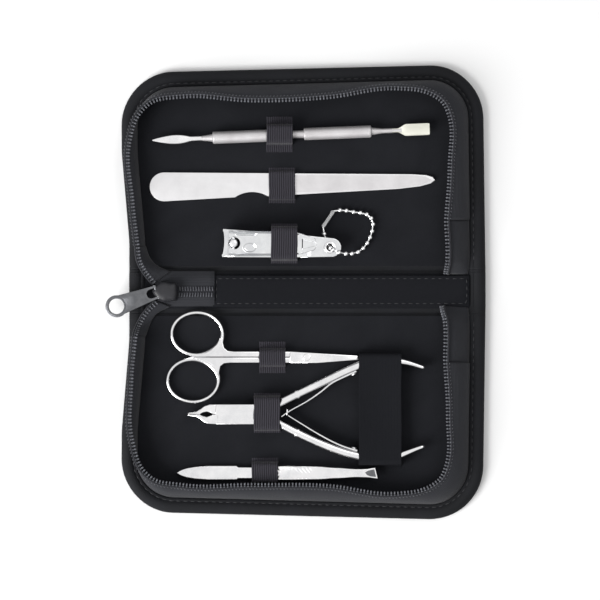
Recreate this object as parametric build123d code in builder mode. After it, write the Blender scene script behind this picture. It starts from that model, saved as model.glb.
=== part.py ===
from build123d import *
import math
import os

# Zip-round manicure case lying open and flat, with its six steel tools.
# Millimetres. The origin is the middle of the spine on the surface the case lies on:
# +X runs along the spine away from the slider, +Y to the upper half, +Z up.

os.makedirs("parts", exist_ok=True)

LOWER = -1
UPPER = 1

# ---- Case: outline of one half, from the fold line out ----
WAIST_X = -79.0
WAIST_Y = 22.0
FLARE_X = -82.5
FLARE_Y = 62.0
LEFT_TOP_Y = 97.4
RIGHT_TOP_X = 80.4
RIGHT_TOP_Y = 101.4
RIGHT_FOLD_X = 81.7
FLARE_R = 60.0
CORNER_R = 24.0

# ---- Case: layers ----
COVER_T = 1.4
BOARD_T = 1.2
LINING_T = 0.6
LINING_TOP = COVER_T + BOARD_T + LINING_T
RIM_W = 6.4
RIM_TOP = 3.6
RIM_R = 1.2
COVER_EDGE = 0.6
BOARD_GAP = 0.3
LINING_GAP = 0.1
FOLD_Y = 9.6
FOLD_CLOTH_W = 3.2
FOLD_CLOTH_T = 1.2
FOLD_CLOTH_GAP = 0.05
PANEL_Y = FOLD_Y + FOLD_CLOTH_W / 2
SPINE_Y = FOLD_Y - FOLD_CLOTH_W / 2
BOARD_SETBACK = 1.0

# ---- Zip ----
CHAIN_Z = 10.9
CHAIN_T = 1.4
TAPE_T = 0.7
TAPE_SEAM_GAP = 0.6
CORD_W = 1.2
TOOTH_REACH = 2.2
TOOTH_L = 1.6
TOOTH_PITCH = 3.06
CHAIN_STATIONS = (0.03, 0.10, 0.19, 0.25, 0.31, 0.42, 0.53, 0.64, 0.70, 0.75, 0.85, 0.93)
UPPER_LEAN = (-3.2, -4.0, -3.3, 1.3, 3.4, 5.9, 5.4, 2.3, 6.0, 8.0, 8.4, 10.4)
LOWER_LEAN = (-4.2, -4.4, -2.0, 2.0, 3.6, 4.4, 4.9, 2.3, 7.0, 9.3, 9.2, 10.8)
TAPE_SAMPLES = 24

# ---- Spine: stitched strip and the short closed end of the zip ----
STRIP_X0 = -41.2
STRIP_X1 = 74.2
STRIP_Y = 7.2
STRIP_T = 1.4
STRIP_R = 0.5
TAIL_X0 = -57.0
TAIL_TAPE_Z = 4.7
TAIL_TAPE_T = 0.5
TAIL_TAPE_TOP_Y = 7.7
TAIL_TAPE_BOTTOM_Y = -5.8
TAIL_ROW_W = 1.9
TAIL_ROW_GAP = 1.5
TAIL_ROW_T = 1.4
TAIL_AXIS_Y = -0.45

# ---- Slider and pull tab ----
SLIDER_X0 = -68.2
SLIDER_X1 = -57.2
SLIDER_W = 9.2
SLIDER_NOSE_W = 6.2
SLIDER_PLATE_T = 1.0
SLIDER_GAP = 0.2
SLIDER_POST_W = 1.2
SLIDER_POST_L = 3.6
SLIDER_LIP_T = 0.6
BRIDGE_W = 4.6
BRIDGE_H = 2.4
BRIDGE_EDGE_R = 0.5
PULL_PIVOT_X = -66.4
PULL_PIVOT_RISE = 1.4
PULL_YAW = 19.6
PULL_DROOP = 7.0
PULL_LENGTH = 18.9
PULL_RING_R = 5.1
PULL_HOLE_R = 3.5
PULL_T = 1.3
PULL_FORK_W = 6.6
PULL_FORK_L = 3.4
PULL_WAY = 0.35
PIN_R = 0.6
FIT_GAP = 0.1

# ---- Elastic loops over the tools: x middle, low y, high y, clear height, shoulder ----
LOOP_W = 12.0
LOOP_T = 0.9
LOOP_R = 1.6
PUSHER_LOOP = (-11.2, 62.6, 78.6, 6.2, 3.4)
FILE_LOOP = (-10.1, 39.6, 55.6, 1.9, 1.4)
CLIPPER_LOOP = (-9.1, 12.4, 30.4, 13.0, 1.2)
SCISSORS_LOOP = (-14.4, -37.0, -22.8, 4.0, 3.0)
NIPPER_LOOP = (-16.8, -63.9, -46.0, 7.8, 1.0)
TWEEZERS_LOOP = (-17.8, -88.0, -75.2, 5.0, 1.6)
STRAP_X = 34.0
STRAP_W = 19.3
STRAP_Y0 = -79.8
STRAP_Y1 = -26.4
STRAP_CLEAR_H = 6.4
STRAP_SHOULDER = 1.2

# ---- Tools ----
TOOL_GAP = 0.2
REST_Z = LINING_TOP + TOOL_GAP


def panel_points(inset, near_y):
    return (
        (WAIST_X + inset, near_y),
        (WAIST_X + inset, WAIST_Y),
        (FLARE_X + inset, FLARE_Y),
        (FLARE_X + inset, LEFT_TOP_Y - inset),
        (RIGHT_TOP_X - inset, RIGHT_TOP_Y - inset),
        (RIGHT_FOLD_X - inset, near_y),
    )


def panel_radii(inset):
    return [FLARE_R, FLARE_R, CORNER_R - inset, CORNER_R - inset]


def panel(inset, near_y):
    with BuildSketch() as face:
        with BuildLine():
            edge = FilletPolyline(*panel_points(inset, near_y), radius=panel_radii(inset))
            Line(edge @ 1, edge @ 0)
        make_face()
    return face.sketch


# ---- Case halves: cover with its padded rim, stiffening board, lining ----


def half_cover():
    with BuildPart() as cover:
        with BuildSketch():
            add(panel(0, PANEL_Y))
        extrude(amount=COVER_T)
        with BuildSketch(Plane.XY.offset(COVER_T)):
            add(panel(0, PANEL_Y))
            add(panel(RIM_W, PANEL_Y), mode=Mode.SUBTRACT)
        extrude(amount=RIM_TOP - COVER_T)
        fillet(cover.faces().sort_by(Axis.Z)[-1].edges(), radius=RIM_R)
        under = cover.faces().sort_by(Axis.Z)[0].edges()
        chamfer(under.sort_by(Axis.Y)[1:], length=COVER_EDGE)
    return cover.part


def half_board():
    with BuildPart() as board:
        with BuildSketch(Plane.XY.offset(COVER_T)):
            add(panel(RIM_W + BOARD_GAP, PANEL_Y + BOARD_SETBACK))
        extrude(amount=BOARD_T)
    return board.part


def half_lining():
    with BuildPart() as lining:
        with BuildSketch(Plane.XY.offset(COVER_T + BOARD_T)):
            add(panel(RIM_W + LINING_GAP, PANEL_Y))
        extrude(amount=LINING_T)
    return lining.part


# ---- Zip halves: the tape rises from its seam at the rim to the chain ----


def seam_line():
    inset = RIM_W + TAPE_SEAM_GAP
    with BuildLine() as seam:
        FilletPolyline(*panel_points(inset, PANEL_Y), radius=panel_radii(inset))
    return seam.wires()[0]


def inward(line, t):
    along = line % t
    return Vector(along.Y, -along.X, 0)


def chain_line(leans):
    seam = seam_line()
    points = [seam @ t + inward(seam, t) * lean for t, lean in zip(CHAIN_STATIONS, leans)]
    with BuildLine() as chain:
        Spline(*points)
    return chain.wires()[0]


def strip_face(line, first, last, width, z):
    steps = [first + (last - first) * i / TAPE_SAMPLES for i in range(TAPE_SAMPLES + 1)]
    inner = [line @ t + inward(line, t) * (width / 2) for t in steps]
    outer = [line @ t - inward(line, t) * (width / 2) for t in steps]
    with BuildSketch(Plane.XY.offset(z)) as face:
        with BuildLine():
            near = Spline(*inner)
            far = Spline(*outer)
            Line(near @ 0, far @ 0)
            Line(near @ 1, far @ 1)
        make_face()
    return face.sketch


def half_tape(leans):
    with BuildPart() as tape:
        foot = strip_face(seam_line(), CHAIN_STATIONS[0], CHAIN_STATIONS[-1], TAPE_T, LINING_TOP)
        head = strip_face(chain_line(leans), 0, 1, TAPE_T, CHAIN_Z)
        loft([foot, head], ruled=True)
    return tape.part


def tooth_places(path):
    count = max(int(path.length / TOOTH_PITCH), 1)
    places = []
    for i in range(count):
        along = (i + 0.5) / count
        heading = path % along
        middle = path @ along + inward(path, along) * (TOOTH_REACH / 2 + CORD_W / 4)
        places.append(Location(middle, math.degrees(math.atan2(heading.Y, heading.X))))
    return places


def half_chain(leans):
    path = chain_line(leans)
    with BuildPart() as chain:
        with BuildSketch(Plane.XY.offset(CHAIN_Z)):
            add(strip_face(path, 0, 1, CORD_W, 0))
            with Locations(*tooth_places(path)):
                Rectangle(TOOTH_L, TOOTH_REACH + CORD_W / 2)
        extrude(amount=CHAIN_T)
    return chain.part


def on_side(piece, side):
    return piece if side == UPPER else mirror(piece, about=Plane.XZ)


for side, side_name, leans in ((LOWER, "lower", LOWER_LEAN), (UPPER, "upper", UPPER_LEAN)):
    cover = on_side(half_cover(), side)
    cover.label = f"{side_name}_cover"
    export_step(cover, f"parts/{side_name}_cover.step")

    board = on_side(half_board(), side)
    board.label = f"{side_name}_board"
    export_step(board, f"parts/{side_name}_board.step")

    lining = on_side(half_lining(), side)
    lining.label = f"{side_name}_lining"
    export_step(lining, f"parts/{side_name}_lining.step")

    tape = on_side(half_tape(leans), side)
    tape.label = f"{side_name}_zip_tape"
    export_step(tape, f"parts/{side_name}_zip_tape.step")

    chain = on_side(half_chain(leans), side)
    chain.label = f"{side_name}_zip_chain"
    export_step(chain, f"parts/{side_name}_zip_chain.step")


# ---- Soft fold: bare cloth across each fold line, rims included ----


def fold_cloth():
    with BuildPart() as cloth:
        with BuildSketch(Plane.XY.offset(FOLD_CLOTH_GAP)):
            with Locations((0.5 * (WAIST_X + RIGHT_FOLD_X), FOLD_Y)):
                Rectangle(RIGHT_FOLD_X - WAIST_X - 2 * COVER_EDGE, FOLD_CLOTH_W - 2 * FOLD_CLOTH_GAP)
        extrude(amount=FOLD_CLOTH_T)
        with BuildSketch(Plane.XY.offset(FOLD_CLOTH_GAP + FOLD_CLOTH_T)):
            with Locations((WAIST_X + RIM_W / 2, FOLD_Y), (RIGHT_FOLD_X - RIM_W / 2, FOLD_Y)):
                Rectangle(RIM_W - 2 * RIM_R, FOLD_CLOTH_W - 2 * FOLD_CLOTH_GAP)
        extrude(amount=RIM_TOP - FOLD_CLOTH_T - 2 * FOLD_CLOTH_GAP)
    return cloth.part


lower_fold_cloth = on_side(fold_cloth(), LOWER)
lower_fold_cloth.label = "lower_fold_cloth"
export_step(lower_fold_cloth, "parts/lower_fold_cloth.step")

upper_fold_cloth = on_side(fold_cloth(), UPPER)
upper_fold_cloth.label = "upper_fold_cloth"
export_step(upper_fold_cloth, "parts/upper_fold_cloth.step")

# ---- Spine ----
SPINE_MID_X = 0.5 * (WAIST_X + RIGHT_FOLD_X)
SPINE_LENGTH = RIGHT_FOLD_X - WAIST_X

with BuildPart() as spine_cover:
    with BuildSketch():
        with Locations((SPINE_MID_X, 0)):
            Rectangle(SPINE_LENGTH, 2 * SPINE_Y)
    extrude(amount=COVER_T)
    with BuildSketch(Plane.XY.offset(COVER_T)):
        with Locations((WAIST_X + RIM_W / 2, 0), (RIGHT_FOLD_X - RIM_W / 2, 0)):
            Rectangle(RIM_W, 2 * SPINE_Y)
    extrude(amount=RIM_TOP - COVER_T)
    fillet(spine_cover.faces().filter_by(Plane.XY).sort_by(Axis.Z)[-2:].edges(), radius=RIM_R)
spine_cover.part.label = "spine_cover"
export_step(spine_cover.part, "parts/spine_cover.step")

with BuildPart() as spine_board:
    with BuildSketch(Plane.XY.offset(COVER_T)):
        with Locations((SPINE_MID_X, 0)):
            Rectangle(SPINE_LENGTH - 2 * (RIM_W + BOARD_GAP), 2 * (SPINE_Y - BOARD_SETBACK))
    extrude(amount=BOARD_T)
spine_board.part.label = "spine_board"
export_step(spine_board.part, "parts/spine_board.step")

with BuildPart() as spine_lining:
    with BuildSketch(Plane.XY.offset(COVER_T + BOARD_T)):
        with Locations((SPINE_MID_X, 0)):
            Rectangle(SPINE_LENGTH - 2 * (RIM_W + LINING_GAP), 2 * SPINE_Y)
    extrude(amount=LINING_T)
spine_lining.part.label = "spine_lining"
export_step(spine_lining.part, "parts/spine_lining.step")

with BuildPart() as spine_strip:
    with BuildSketch(Plane.XY.offset(LINING_TOP)):
        with Locations((0.5 * (STRIP_X0 + STRIP_X1), 0)):
            Rectangle(STRIP_X1 - STRIP_X0, 2 * STRIP_Y)
    extrude(amount=STRIP_T)
    fillet(spine_strip.faces().sort_by(Axis.Z)[-1].edges(), radius=STRIP_R)
spine_strip.part.label = "spine_strip"
export_step(spine_strip.part, "parts/spine_strip.step")

# ---- Closed tail of the zip: two tapes and two rows of teeth with a slit for the slider ----
TAIL_X1 = STRIP_X0 - FIT_GAP
TAIL_LENGTH = TAIL_X1 - TAIL_X0
TAIL_MID_X = 0.5 * (TAIL_X0 + TAIL_X1)
SLIT = TAIL_ROW_GAP / 2
ROW_Z = TAIL_TAPE_Z + TAIL_TAPE_T

with BuildPart() as zip_tail_tape:
    with BuildSketch(Plane.XY.offset(TAIL_TAPE_Z)):
        for inner_y, outer_y in (
            (TAIL_AXIS_Y + SLIT, TAIL_TAPE_TOP_Y),
            (TAIL_AXIS_Y - SLIT, TAIL_TAPE_BOTTOM_Y),
        ):
            with Locations((TAIL_MID_X, 0.5 * (inner_y + outer_y))):
                Rectangle(TAIL_LENGTH, abs(outer_y - inner_y))
    extrude(amount=TAIL_TAPE_T)
zip_tail_tape.part.label = "zip_tail_tape"
export_step(zip_tail_tape.part, "parts/zip_tail_tape.step")

TAIL_TEETH = int(TAIL_LENGTH / TOOTH_PITCH)
with BuildPart() as zip_tail_chain:
    for toward in (LOWER, UPPER):
        cord_y = TAIL_AXIS_Y + toward * (SLIT + TAIL_ROW_W - CORD_W / 2)
        tooth_y = TAIL_AXIS_Y + toward * (SLIT + TAIL_ROW_W / 2)
        with BuildSketch(Plane.XY.offset(ROW_Z)):
            with Locations((TAIL_MID_X, cord_y)):
                Rectangle(TAIL_LENGTH, CORD_W)
            with Locations((TAIL_MID_X, tooth_y)):
                with GridLocations(TOOTH_PITCH, 1, TAIL_TEETH, 1):
                    Rectangle(TOOTH_L, TAIL_ROW_W)
        extrude(amount=TAIL_ROW_T)
zip_tail_chain.part.label = "zip_tail_chain"
export_step(zip_tail_chain.part, "parts/zip_tail_chain.step")

# ---- Slider: two plates joined by a post, with lips that hold the rows in ----
LOW_PLATE_Z = TAIL_TAPE_Z - SLIDER_GAP - SLIDER_PLATE_T
HIGH_PLATE_Z = ROW_Z + TAIL_ROW_T + SLIDER_GAP
LIP_Z = ROW_Z + SLIDER_GAP
HALF_SLIDER = SLIDER_W / 2
HALF_NOSE = SLIDER_NOSE_W / 2
NOSE_STEP = 2.2


def slider_plate():
    with BuildSketch() as plate:
        with BuildLine():
            FilletPolyline(
                (SLIDER_X0, TAIL_AXIS_Y - HALF_NOSE),
                (SLIDER_X0 + NOSE_STEP, TAIL_AXIS_Y - HALF_SLIDER),
                (SLIDER_X1 - NOSE_STEP, TAIL_AXIS_Y - HALF_SLIDER),
                (SLIDER_X1, TAIL_AXIS_Y - HALF_NOSE),
                (SLIDER_X1, TAIL_AXIS_Y + HALF_NOSE),
                (SLIDER_X1 - NOSE_STEP, TAIL_AXIS_Y + HALF_SLIDER),
                (SLIDER_X0 + NOSE_STEP, TAIL_AXIS_Y + HALF_SLIDER),
                (SLIDER_X0, TAIL_AXIS_Y + HALF_NOSE),
                radius=NOSE_STEP / 2,
                close=True,
            )
        make_face()
    return plate.sketch


with BuildPart() as slider_body:
    with BuildSketch(Plane.XY.offset(LOW_PLATE_Z)):
        add(slider_plate())
    extrude(amount=SLIDER_PLATE_T)
    with BuildSketch(Plane.XY.offset(LOW_PLATE_Z + SLIDER_PLATE_T)):
        with Locations((SLIDER_X0 + 0.6 + SLIDER_POST_L / 2, TAIL_AXIS_Y)):
            SlotOverall(SLIDER_POST_L, SLIDER_POST_W)
    extrude(amount=HIGH_PLATE_Z - LOW_PLATE_Z - SLIDER_PLATE_T)
    with BuildSketch(Plane.XY.offset(HIGH_PLATE_Z)):
        add(slider_plate())
    extrude(amount=SLIDER_PLATE_T)
    chamfer(slider_body.faces().sort_by(Axis.Z)[-1].edges(), length=SLIDER_PLATE_T / 2)
    with BuildSketch(Plane.XY.offset(LIP_Z)):
        for toward in (LOWER, UPPER):
            lip_y = TAIL_AXIS_Y + toward * (HALF_SLIDER - SLIDER_LIP_T / 2)
            with Locations((0.5 * (SLIDER_X0 + SLIDER_X1), lip_y)):
                Rectangle(SLIDER_X1 - SLIDER_X0 - 2 * NOSE_STEP - 1, SLIDER_LIP_T)
    extrude(amount=HIGH_PLATE_Z - LIP_Z + SLIDER_PLATE_T / 2)
slider_body.part.label = "slider_body"
export_step(slider_body.part, "parts/slider_body.step")

SLIDER_TOP = HIGH_PLATE_Z + SLIDER_PLATE_T
PIVOT_Z = SLIDER_TOP + PULL_PIVOT_RISE
BRIDGE_X1 = SLIDER_X1 - 1.2
PULL_DIR_X = -math.cos(math.radians(PULL_YAW))
PULL_DIR_Y = -math.sin(math.radians(PULL_YAW))
PULL_PLANE = Plane(
    origin=(PULL_PIVOT_X, TAIL_AXIS_Y, PIVOT_Z),
    x_dir=(PULL_DIR_X, PULL_DIR_Y, -math.tan(math.radians(PULL_DROOP))),
    z_dir=Vector(PULL_DIR_X, PULL_DIR_Y, 0) * math.sin(math.radians(PULL_DROOP))
    + Vector(0, 0, math.cos(math.radians(PULL_DROOP))),
)

with BuildPart() as slider_bridge:
    with BuildSketch(Plane.XY.offset(SLIDER_TOP)):
        with BuildLine():
            Line((PULL_PIVOT_X, TAIL_AXIS_Y + BRIDGE_W / 2), (BRIDGE_X1, TAIL_AXIS_Y + BRIDGE_W / 4))
            Line((BRIDGE_X1, TAIL_AXIS_Y + BRIDGE_W / 4), (BRIDGE_X1, TAIL_AXIS_Y - BRIDGE_W / 4))
            Line((BRIDGE_X1, TAIL_AXIS_Y - BRIDGE_W / 4), (PULL_PIVOT_X, TAIL_AXIS_Y - BRIDGE_W / 2))
            CenterArc((PULL_PIVOT_X, TAIL_AXIS_Y), BRIDGE_W / 2, 90, 180)
        make_face()
    extrude(amount=BRIDGE_H)
    fillet(slider_bridge.faces().sort_by(Axis.Z)[-1].edges(), radius=BRIDGE_EDGE_R)
    with BuildSketch(Plane(PULL_PLANE.origin, x_dir=PULL_PLANE.x_dir, z_dir=PULL_PLANE.y_dir)):
        Circle(PIN_R + FIT_GAP)
    extrude(amount=BRIDGE_W, both=True, mode=Mode.SUBTRACT)
slider_bridge.part.label = "slider_bridge"
export_step(slider_bridge.part, "parts/slider_bridge.step")

# ---- Pull tab: a fork pinned in the bridge, widening to a ring ----
with BuildPart() as zip_pull:
    with BuildSketch(PULL_PLANE):
        with BuildLine():
            Polyline(
                (-PIN_R, -PULL_FORK_W / 2),
                (PULL_LENGTH, -PULL_RING_R),
                (PULL_LENGTH, PULL_RING_R),
                (-PIN_R, PULL_FORK_W / 2),
                close=True,
            )
        make_face()
        with Locations((PULL_LENGTH, 0)):
            Circle(PULL_RING_R)
            Circle(PULL_HOLE_R, mode=Mode.SUBTRACT)
        with Locations((PULL_FORK_L - BRIDGE_W / 2, 0)):
            Circle(BRIDGE_W / 2 + PULL_WAY, mode=Mode.SUBTRACT)
        with Locations((-PIN_R, 0)):
            Rectangle(2 * (PULL_FORK_L - BRIDGE_W / 2 + PIN_R), BRIDGE_W + 2 * PULL_WAY, mode=Mode.SUBTRACT)
    extrude(amount=PULL_T / 2, both=True)
    with BuildSketch(Plane(PULL_PLANE.origin, x_dir=PULL_PLANE.x_dir, z_dir=PULL_PLANE.y_dir)):
        Circle(PIN_R)
    extrude(amount=PULL_FORK_W / 2 - FIT_GAP, both=True)
zip_pull.part.label = "zip_pull"
export_step(zip_pull.part, "parts/zip_pull.step")

# ---- Sloping ends of the zip: from the slider up to each chain, and down to the strip ----
TURN_T = 1.0
END_DROP_Y = STRIP_Y + 1.4


def sloping_chain(start, bend, end):
    start, bend, end = Vector(*start), Vector(*bend), Vector(*end)
    rise = end - start
    flat = Vector(rise.X, rise.Y, 0).normalized()
    slope = Plane(origin=start, x_dir=rise, z_dir=rise.cross(Vector(0, 0, 1).cross(flat)))
    slope = slope if slope.z_dir.Z > 0 else Plane(origin=start, x_dir=rise, z_dir=-slope.z_dir)
    side_step = slope.to_local_coords(Vector(bend.X, bend.Y, 0.5 * (start.Z + end.Z)))
    with BuildPart() as run:
        with BuildSketch(slope):
            with BuildLine() as route:
                ThreePointArc((0, 0), (side_step.X, side_step.Y), (rise.length, 0))
            trace(line_width=CORD_W)
            with Locations(*tooth_places(route.wires()[0])):
                Rectangle(TOOTH_L, TOOTH_REACH + CORD_W / 2)
        extrude(amount=TURN_T)
    return run.part


def half_turn(leans):
    top = chain_line(leans) @ 0
    nose = (SLIDER_X0 - 0.8, 3.4, ROW_Z)
    bend = (0.55 * SLIDER_X0 + 0.45 * top.X - 2.0, 0.5 * (3.4 + top.Y) - 0.6)
    return sloping_chain(nose, bend, (top.X, top.Y - 0.6, CHAIN_Z))


def half_end(leans):
    top = chain_line(leans) @ 1
    foot = (top.X - 0.6, END_DROP_Y, LINING_TOP + 0.3)
    middle = (0.5 * (top.X + foot[0]) + 0.4, 0.5 * (top.Y + END_DROP_Y))
    return sloping_chain((top.X, top.Y - 0.8, CHAIN_Z), middle, foot)


lower_zip_turn = on_side(half_turn(LOWER_LEAN), LOWER)
lower_zip_turn.label = "lower_zip_turn"
export_step(lower_zip_turn, "parts/lower_zip_turn.step")

upper_zip_turn = on_side(half_turn(UPPER_LEAN), UPPER)
upper_zip_turn.label = "upper_zip_turn"
export_step(upper_zip_turn, "parts/upper_zip_turn.step")

lower_zip_end = on_side(half_end(LOWER_LEAN), LOWER)
lower_zip_end.label = "lower_zip_end"
export_step(lower_zip_end, "parts/lower_zip_end.step")

upper_zip_end = on_side(half_end(UPPER_LEAN), UPPER)
upper_zip_end.label = "upper_zip_end"
export_step(upper_zip_end, "parts/upper_zip_end.step")

# ---- Elastic loops and the wide strap, sewn down at both ends ----


def elastic(x, y0, y1, clear_h, width, shoulder):
    with BuildPart() as band:
        with BuildSketch(Plane.YZ.offset(x)) as section:
            with BuildLine() as crown:
                FilletPolyline(
                    (y0, LINING_TOP),
                    (y0 + shoulder, LINING_TOP + clear_h + LOOP_T),
                    (y1 - shoulder, LINING_TOP + clear_h + LOOP_T),
                    (y1, LINING_TOP),
                    radius=LOOP_R,
                )
                Line((y1, LINING_TOP), (y0, LINING_TOP))
            make_face()
            with BuildLine() as hollow:
                FilletPolyline(
                    (y0 + LOOP_T * 1.2, LINING_TOP),
                    (y0 + shoulder + LOOP_T * 0.8, LINING_TOP + clear_h),
                    (y1 - shoulder - LOOP_T * 0.8, LINING_TOP + clear_h),
                    (y1 - LOOP_T * 1.2, LINING_TOP),
                    radius=LOOP_R / 2,
                )
                Line((y1 - LOOP_T * 1.2, LINING_TOP), (y0 + LOOP_T * 1.2, LINING_TOP))
            make_face(mode=Mode.SUBTRACT)
        extrude(amount=width / 2, both=True)
    return band.part


for name, (x, y0, y1, clear_h, shoulder) in (
    ("pusher_loop", PUSHER_LOOP),
    ("file_loop", FILE_LOOP),
    ("clipper_loop", CLIPPER_LOOP),
    ("scissors_loop", SCISSORS_LOOP),
    ("nipper_loop", NIPPER_LOOP),
    ("tweezers_loop", TWEEZERS_LOOP),
):
    loop = elastic(x, y0, y1, clear_h, LOOP_W, shoulder)
    loop.label = name
    export_step(loop, f"parts/{name}.step")

handle_strap = elastic(STRAP_X, STRAP_Y0, STRAP_Y1, STRAP_CLEAR_H, STRAP_W, STRAP_SHOULDER)
handle_strap.label = "handle_strap"
export_step(handle_strap, "parts/handle_strap.step")


# ---- Cuticle pusher: turned handle with a spear and a spade let into its ends ----
PUSHER_AT = (-68.4, 67.8)
PUSHER_TURN = 2.34
PUSHER_R = 2.7
PUSHER_WAIST_R = 1.7
PUSHER_NECK_R = 1.1
PUSHER_CHAMFER = 0.5
SPEAR_L = 17.4
SPEAR_W = 4.0
SPEAR_T = 1.0
SPADE_X = 109.5
SPADE_L = 15.4
SPADE_W = 5.5
SPADE_T = 0.9
SPADE_R = 1.2
HANDLE_X = (24.0, 27.1, 57.5, 68.2, 98.6, 110.0)
TANG_L = 3.0


def tool_plane(at, turn, z):
    heading = (math.cos(math.radians(turn)), math.sin(math.radians(turn)), 0)
    return Plane(origin=(at[0], at[1], z), x_dir=heading, z_dir=(0, 0, 1))


PUSHER_PLANE = tool_plane(PUSHER_AT, PUSHER_TURN, REST_Z + PUSHER_R)
PUSHER_SIDE = Plane(PUSHER_PLANE.origin, x_dir=PUSHER_PLANE.x_dir, z_dir=-PUSHER_PLANE.y_dir)

with BuildPart() as pusher_handle:
    neck0, barrel0, barrel0_end, barrel1, barrel1_end, neck1 = HANDLE_X
    with BuildSketch(PUSHER_SIDE):
        with BuildLine():
            Polyline(
                (neck0, 0),
                (neck0, PUSHER_NECK_R),
                (barrel0 - PUSHER_CHAMFER, PUSHER_WAIST_R),
                (barrel0, PUSHER_R - PUSHER_CHAMFER),
                (barrel0 + PUSHER_CHAMFER, PUSHER_R),
                (barrel0_end - PUSHER_CHAMFER, PUSHER_R),
                (barrel0_end, PUSHER_R - PUSHER_CHAMFER),
                (barrel0_end + PUSHER_CHAMFER, PUSHER_WAIST_R),
                (barrel1 - PUSHER_CHAMFER, PUSHER_WAIST_R),
                (barrel1, PUSHER_R - PUSHER_CHAMFER),
                (barrel1 + PUSHER_CHAMFER, PUSHER_R),
                (barrel1_end - PUSHER_CHAMFER, PUSHER_R),
                (barrel1_end, PUSHER_R - PUSHER_CHAMFER),
                (barrel1_end + PUSHER_CHAMFER, PUSHER_WAIST_R),
                (neck1, PUSHER_NECK_R),
                (neck1, 0),
                close=True,
            )
        make_face()
    revolve(axis=Axis(PUSHER_PLANE.origin, PUSHER_PLANE.x_dir))
    for x0, reach in ((neck0, TANG_L + FIT_GAP), (neck1 - TANG_L - FIT_GAP, TANG_L + FIT_GAP)):
        with BuildSketch(PUSHER_PLANE):
            with Locations((x0 + reach / 2, 0)):
                Rectangle(reach, 2 * PUSHER_NECK_R + 1)
        extrude(amount=SPEAR_T / 2 + FIT_GAP / 2, both=True, mode=Mode.SUBTRACT)
pusher_handle.part.label = "pusher_handle"
export_step(pusher_handle.part, "parts/pusher_handle.step")

with BuildPart() as pusher_spear:
    with BuildSketch(PUSHER_PLANE):
        with BuildLine():
            Spline((0, 0), (6.0, 1.35), (SPEAR_L - 3.0, SPEAR_W / 2), (SPEAR_L, PUSHER_NECK_R))
            Line((SPEAR_L, PUSHER_NECK_R), (neck0 + TANG_L, PUSHER_NECK_R - FIT_GAP))
            Line((neck0 + TANG_L, PUSHER_NECK_R - FIT_GAP), (neck0 + TANG_L, 0))
            Line((neck0 + TANG_L, 0), (0, 0))
        make_face()
        mirror(about=Plane.XZ)
    extrude(amount=SPEAR_T / 2, both=True)
pusher_spear.part.label = "pusher_spear"
export_step(pusher_spear.part, "parts/pusher_spear.step")

with BuildPart() as pusher_spade:
    with BuildSketch(PUSHER_PLANE):
        with BuildLine():
            Polyline(
                (neck1 - TANG_L, -PUSHER_NECK_R + FIT_GAP),
                (SPADE_X, -PUSHER_NECK_R),
                (SPADE_X + 3.0, -SPADE_W / 2),
                (SPADE_X + SPADE_L, -SPADE_W / 2),
                (SPADE_X + SPADE_L, SPADE_W / 2),
                (SPADE_X + 3.0, SPADE_W / 2),
                (SPADE_X, PUSHER_NECK_R),
                (neck1 - TANG_L, PUSHER_NECK_R - FIT_GAP),
                close=True,
            )
        make_face()
    extrude(amount=SPADE_T / 2, both=True)
    fillet(pusher_spade.edges().filter_by(Axis.Z).sort_by(Axis.X)[-2:], radius=SPADE_R)
pusher_spade.part.label = "pusher_spade"
export_step(pusher_spade.part, "parts/pusher_spade.step")

# ---- Nail file: rounded grip, thumb notch, long tapering blade ----
FILE_AT = (-69.7, 46.9)
FILE_GRIP_R = 6.5
FILE_T = 1.2
FILE_NOTCH = ((38.4, -4.7), (46.1, -2.3), (53.2, -4.2))
FILE_TAPER = ((112.0, -0.9), (124.8, 0.8), (128.5, 3.1))
FILE_TOP_X = 120.3
FILE_TOP_Y = 5.6

with BuildPart() as nail_file:
    with BuildSketch(tool_plane(FILE_AT, 0, REST_Z)):
        with BuildLine():
            ThreePointArc((FILE_GRIP_R, FILE_GRIP_R), (0, 0), (FILE_GRIP_R, -FILE_GRIP_R))
            Line((FILE_GRIP_R, -FILE_GRIP_R), FILE_NOTCH[0])
            ThreePointArc(*FILE_NOTCH)
            Polyline(FILE_NOTCH[2], FILE_TAPER[0], FILE_TAPER[1])
            Spline(FILE_TAPER[1], FILE_TAPER[2], (FILE_TOP_X, FILE_TOP_Y))
            Line((FILE_TOP_X, FILE_TOP_Y), (FILE_GRIP_R, FILE_GRIP_R))
        make_face()
    extrude(amount=FILE_T)
nail_file.part.label = "nail_file"
export_step(nail_file.part, "parts/nail_file.step")

# ---- Nail clipper: two sprung arms on an eyelet, a post, a lever, a ball chain ----
CLIPPER_AT = (-31.8, 21.4)
CLIPPER_TURN = -2.4
LEVER_TURN = -0.6
ARM_T = 1.2
ARM_SPARE = 3.0
JAW_SPARE = 0.5
TAIL_RUN = 6.5
BELLY_END_X = 1.5
ARM_BENDS = (12.0, 14.0, 3.0)
JAW_X = -5.0
JAW_W = 12.6
SHOULDER_X = 28.3
SHOULDER_W = 10.3
EYELET_X = 43.3
TAIL_R = 4.2
TAIL_Z = REST_Z + 2.8
BELLY_X = 24.0
ARM_GAP = 0.05
JAW_OPEN = 1.6
POST_R = 1.5
POST_BASE_Z = LINING_TOP + 0.1
POST_HEAD = 1.4
POST_EDGE = 0.4
POST_WAY = 0.3
EYELET_R = 1.6
EYELET_WALL = 0.5
EYELET_FLANGE_R = 2.7
EYELET_FLANGE_T = 0.4
EYELET_LIFT = 0.35
LEVER_W = 10.7
LEVER_L = 37.5
LEVER_END_W = 6.4
LEVER_T = 1.0
LEVER_LIFT = 0.35
LEVER_EYE_R = 1.6
CROSS_PIN_R = 0.7
CLIPPER_PLANE = tool_plane(CLIPPER_AT, CLIPPER_TURN, 0)
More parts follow.
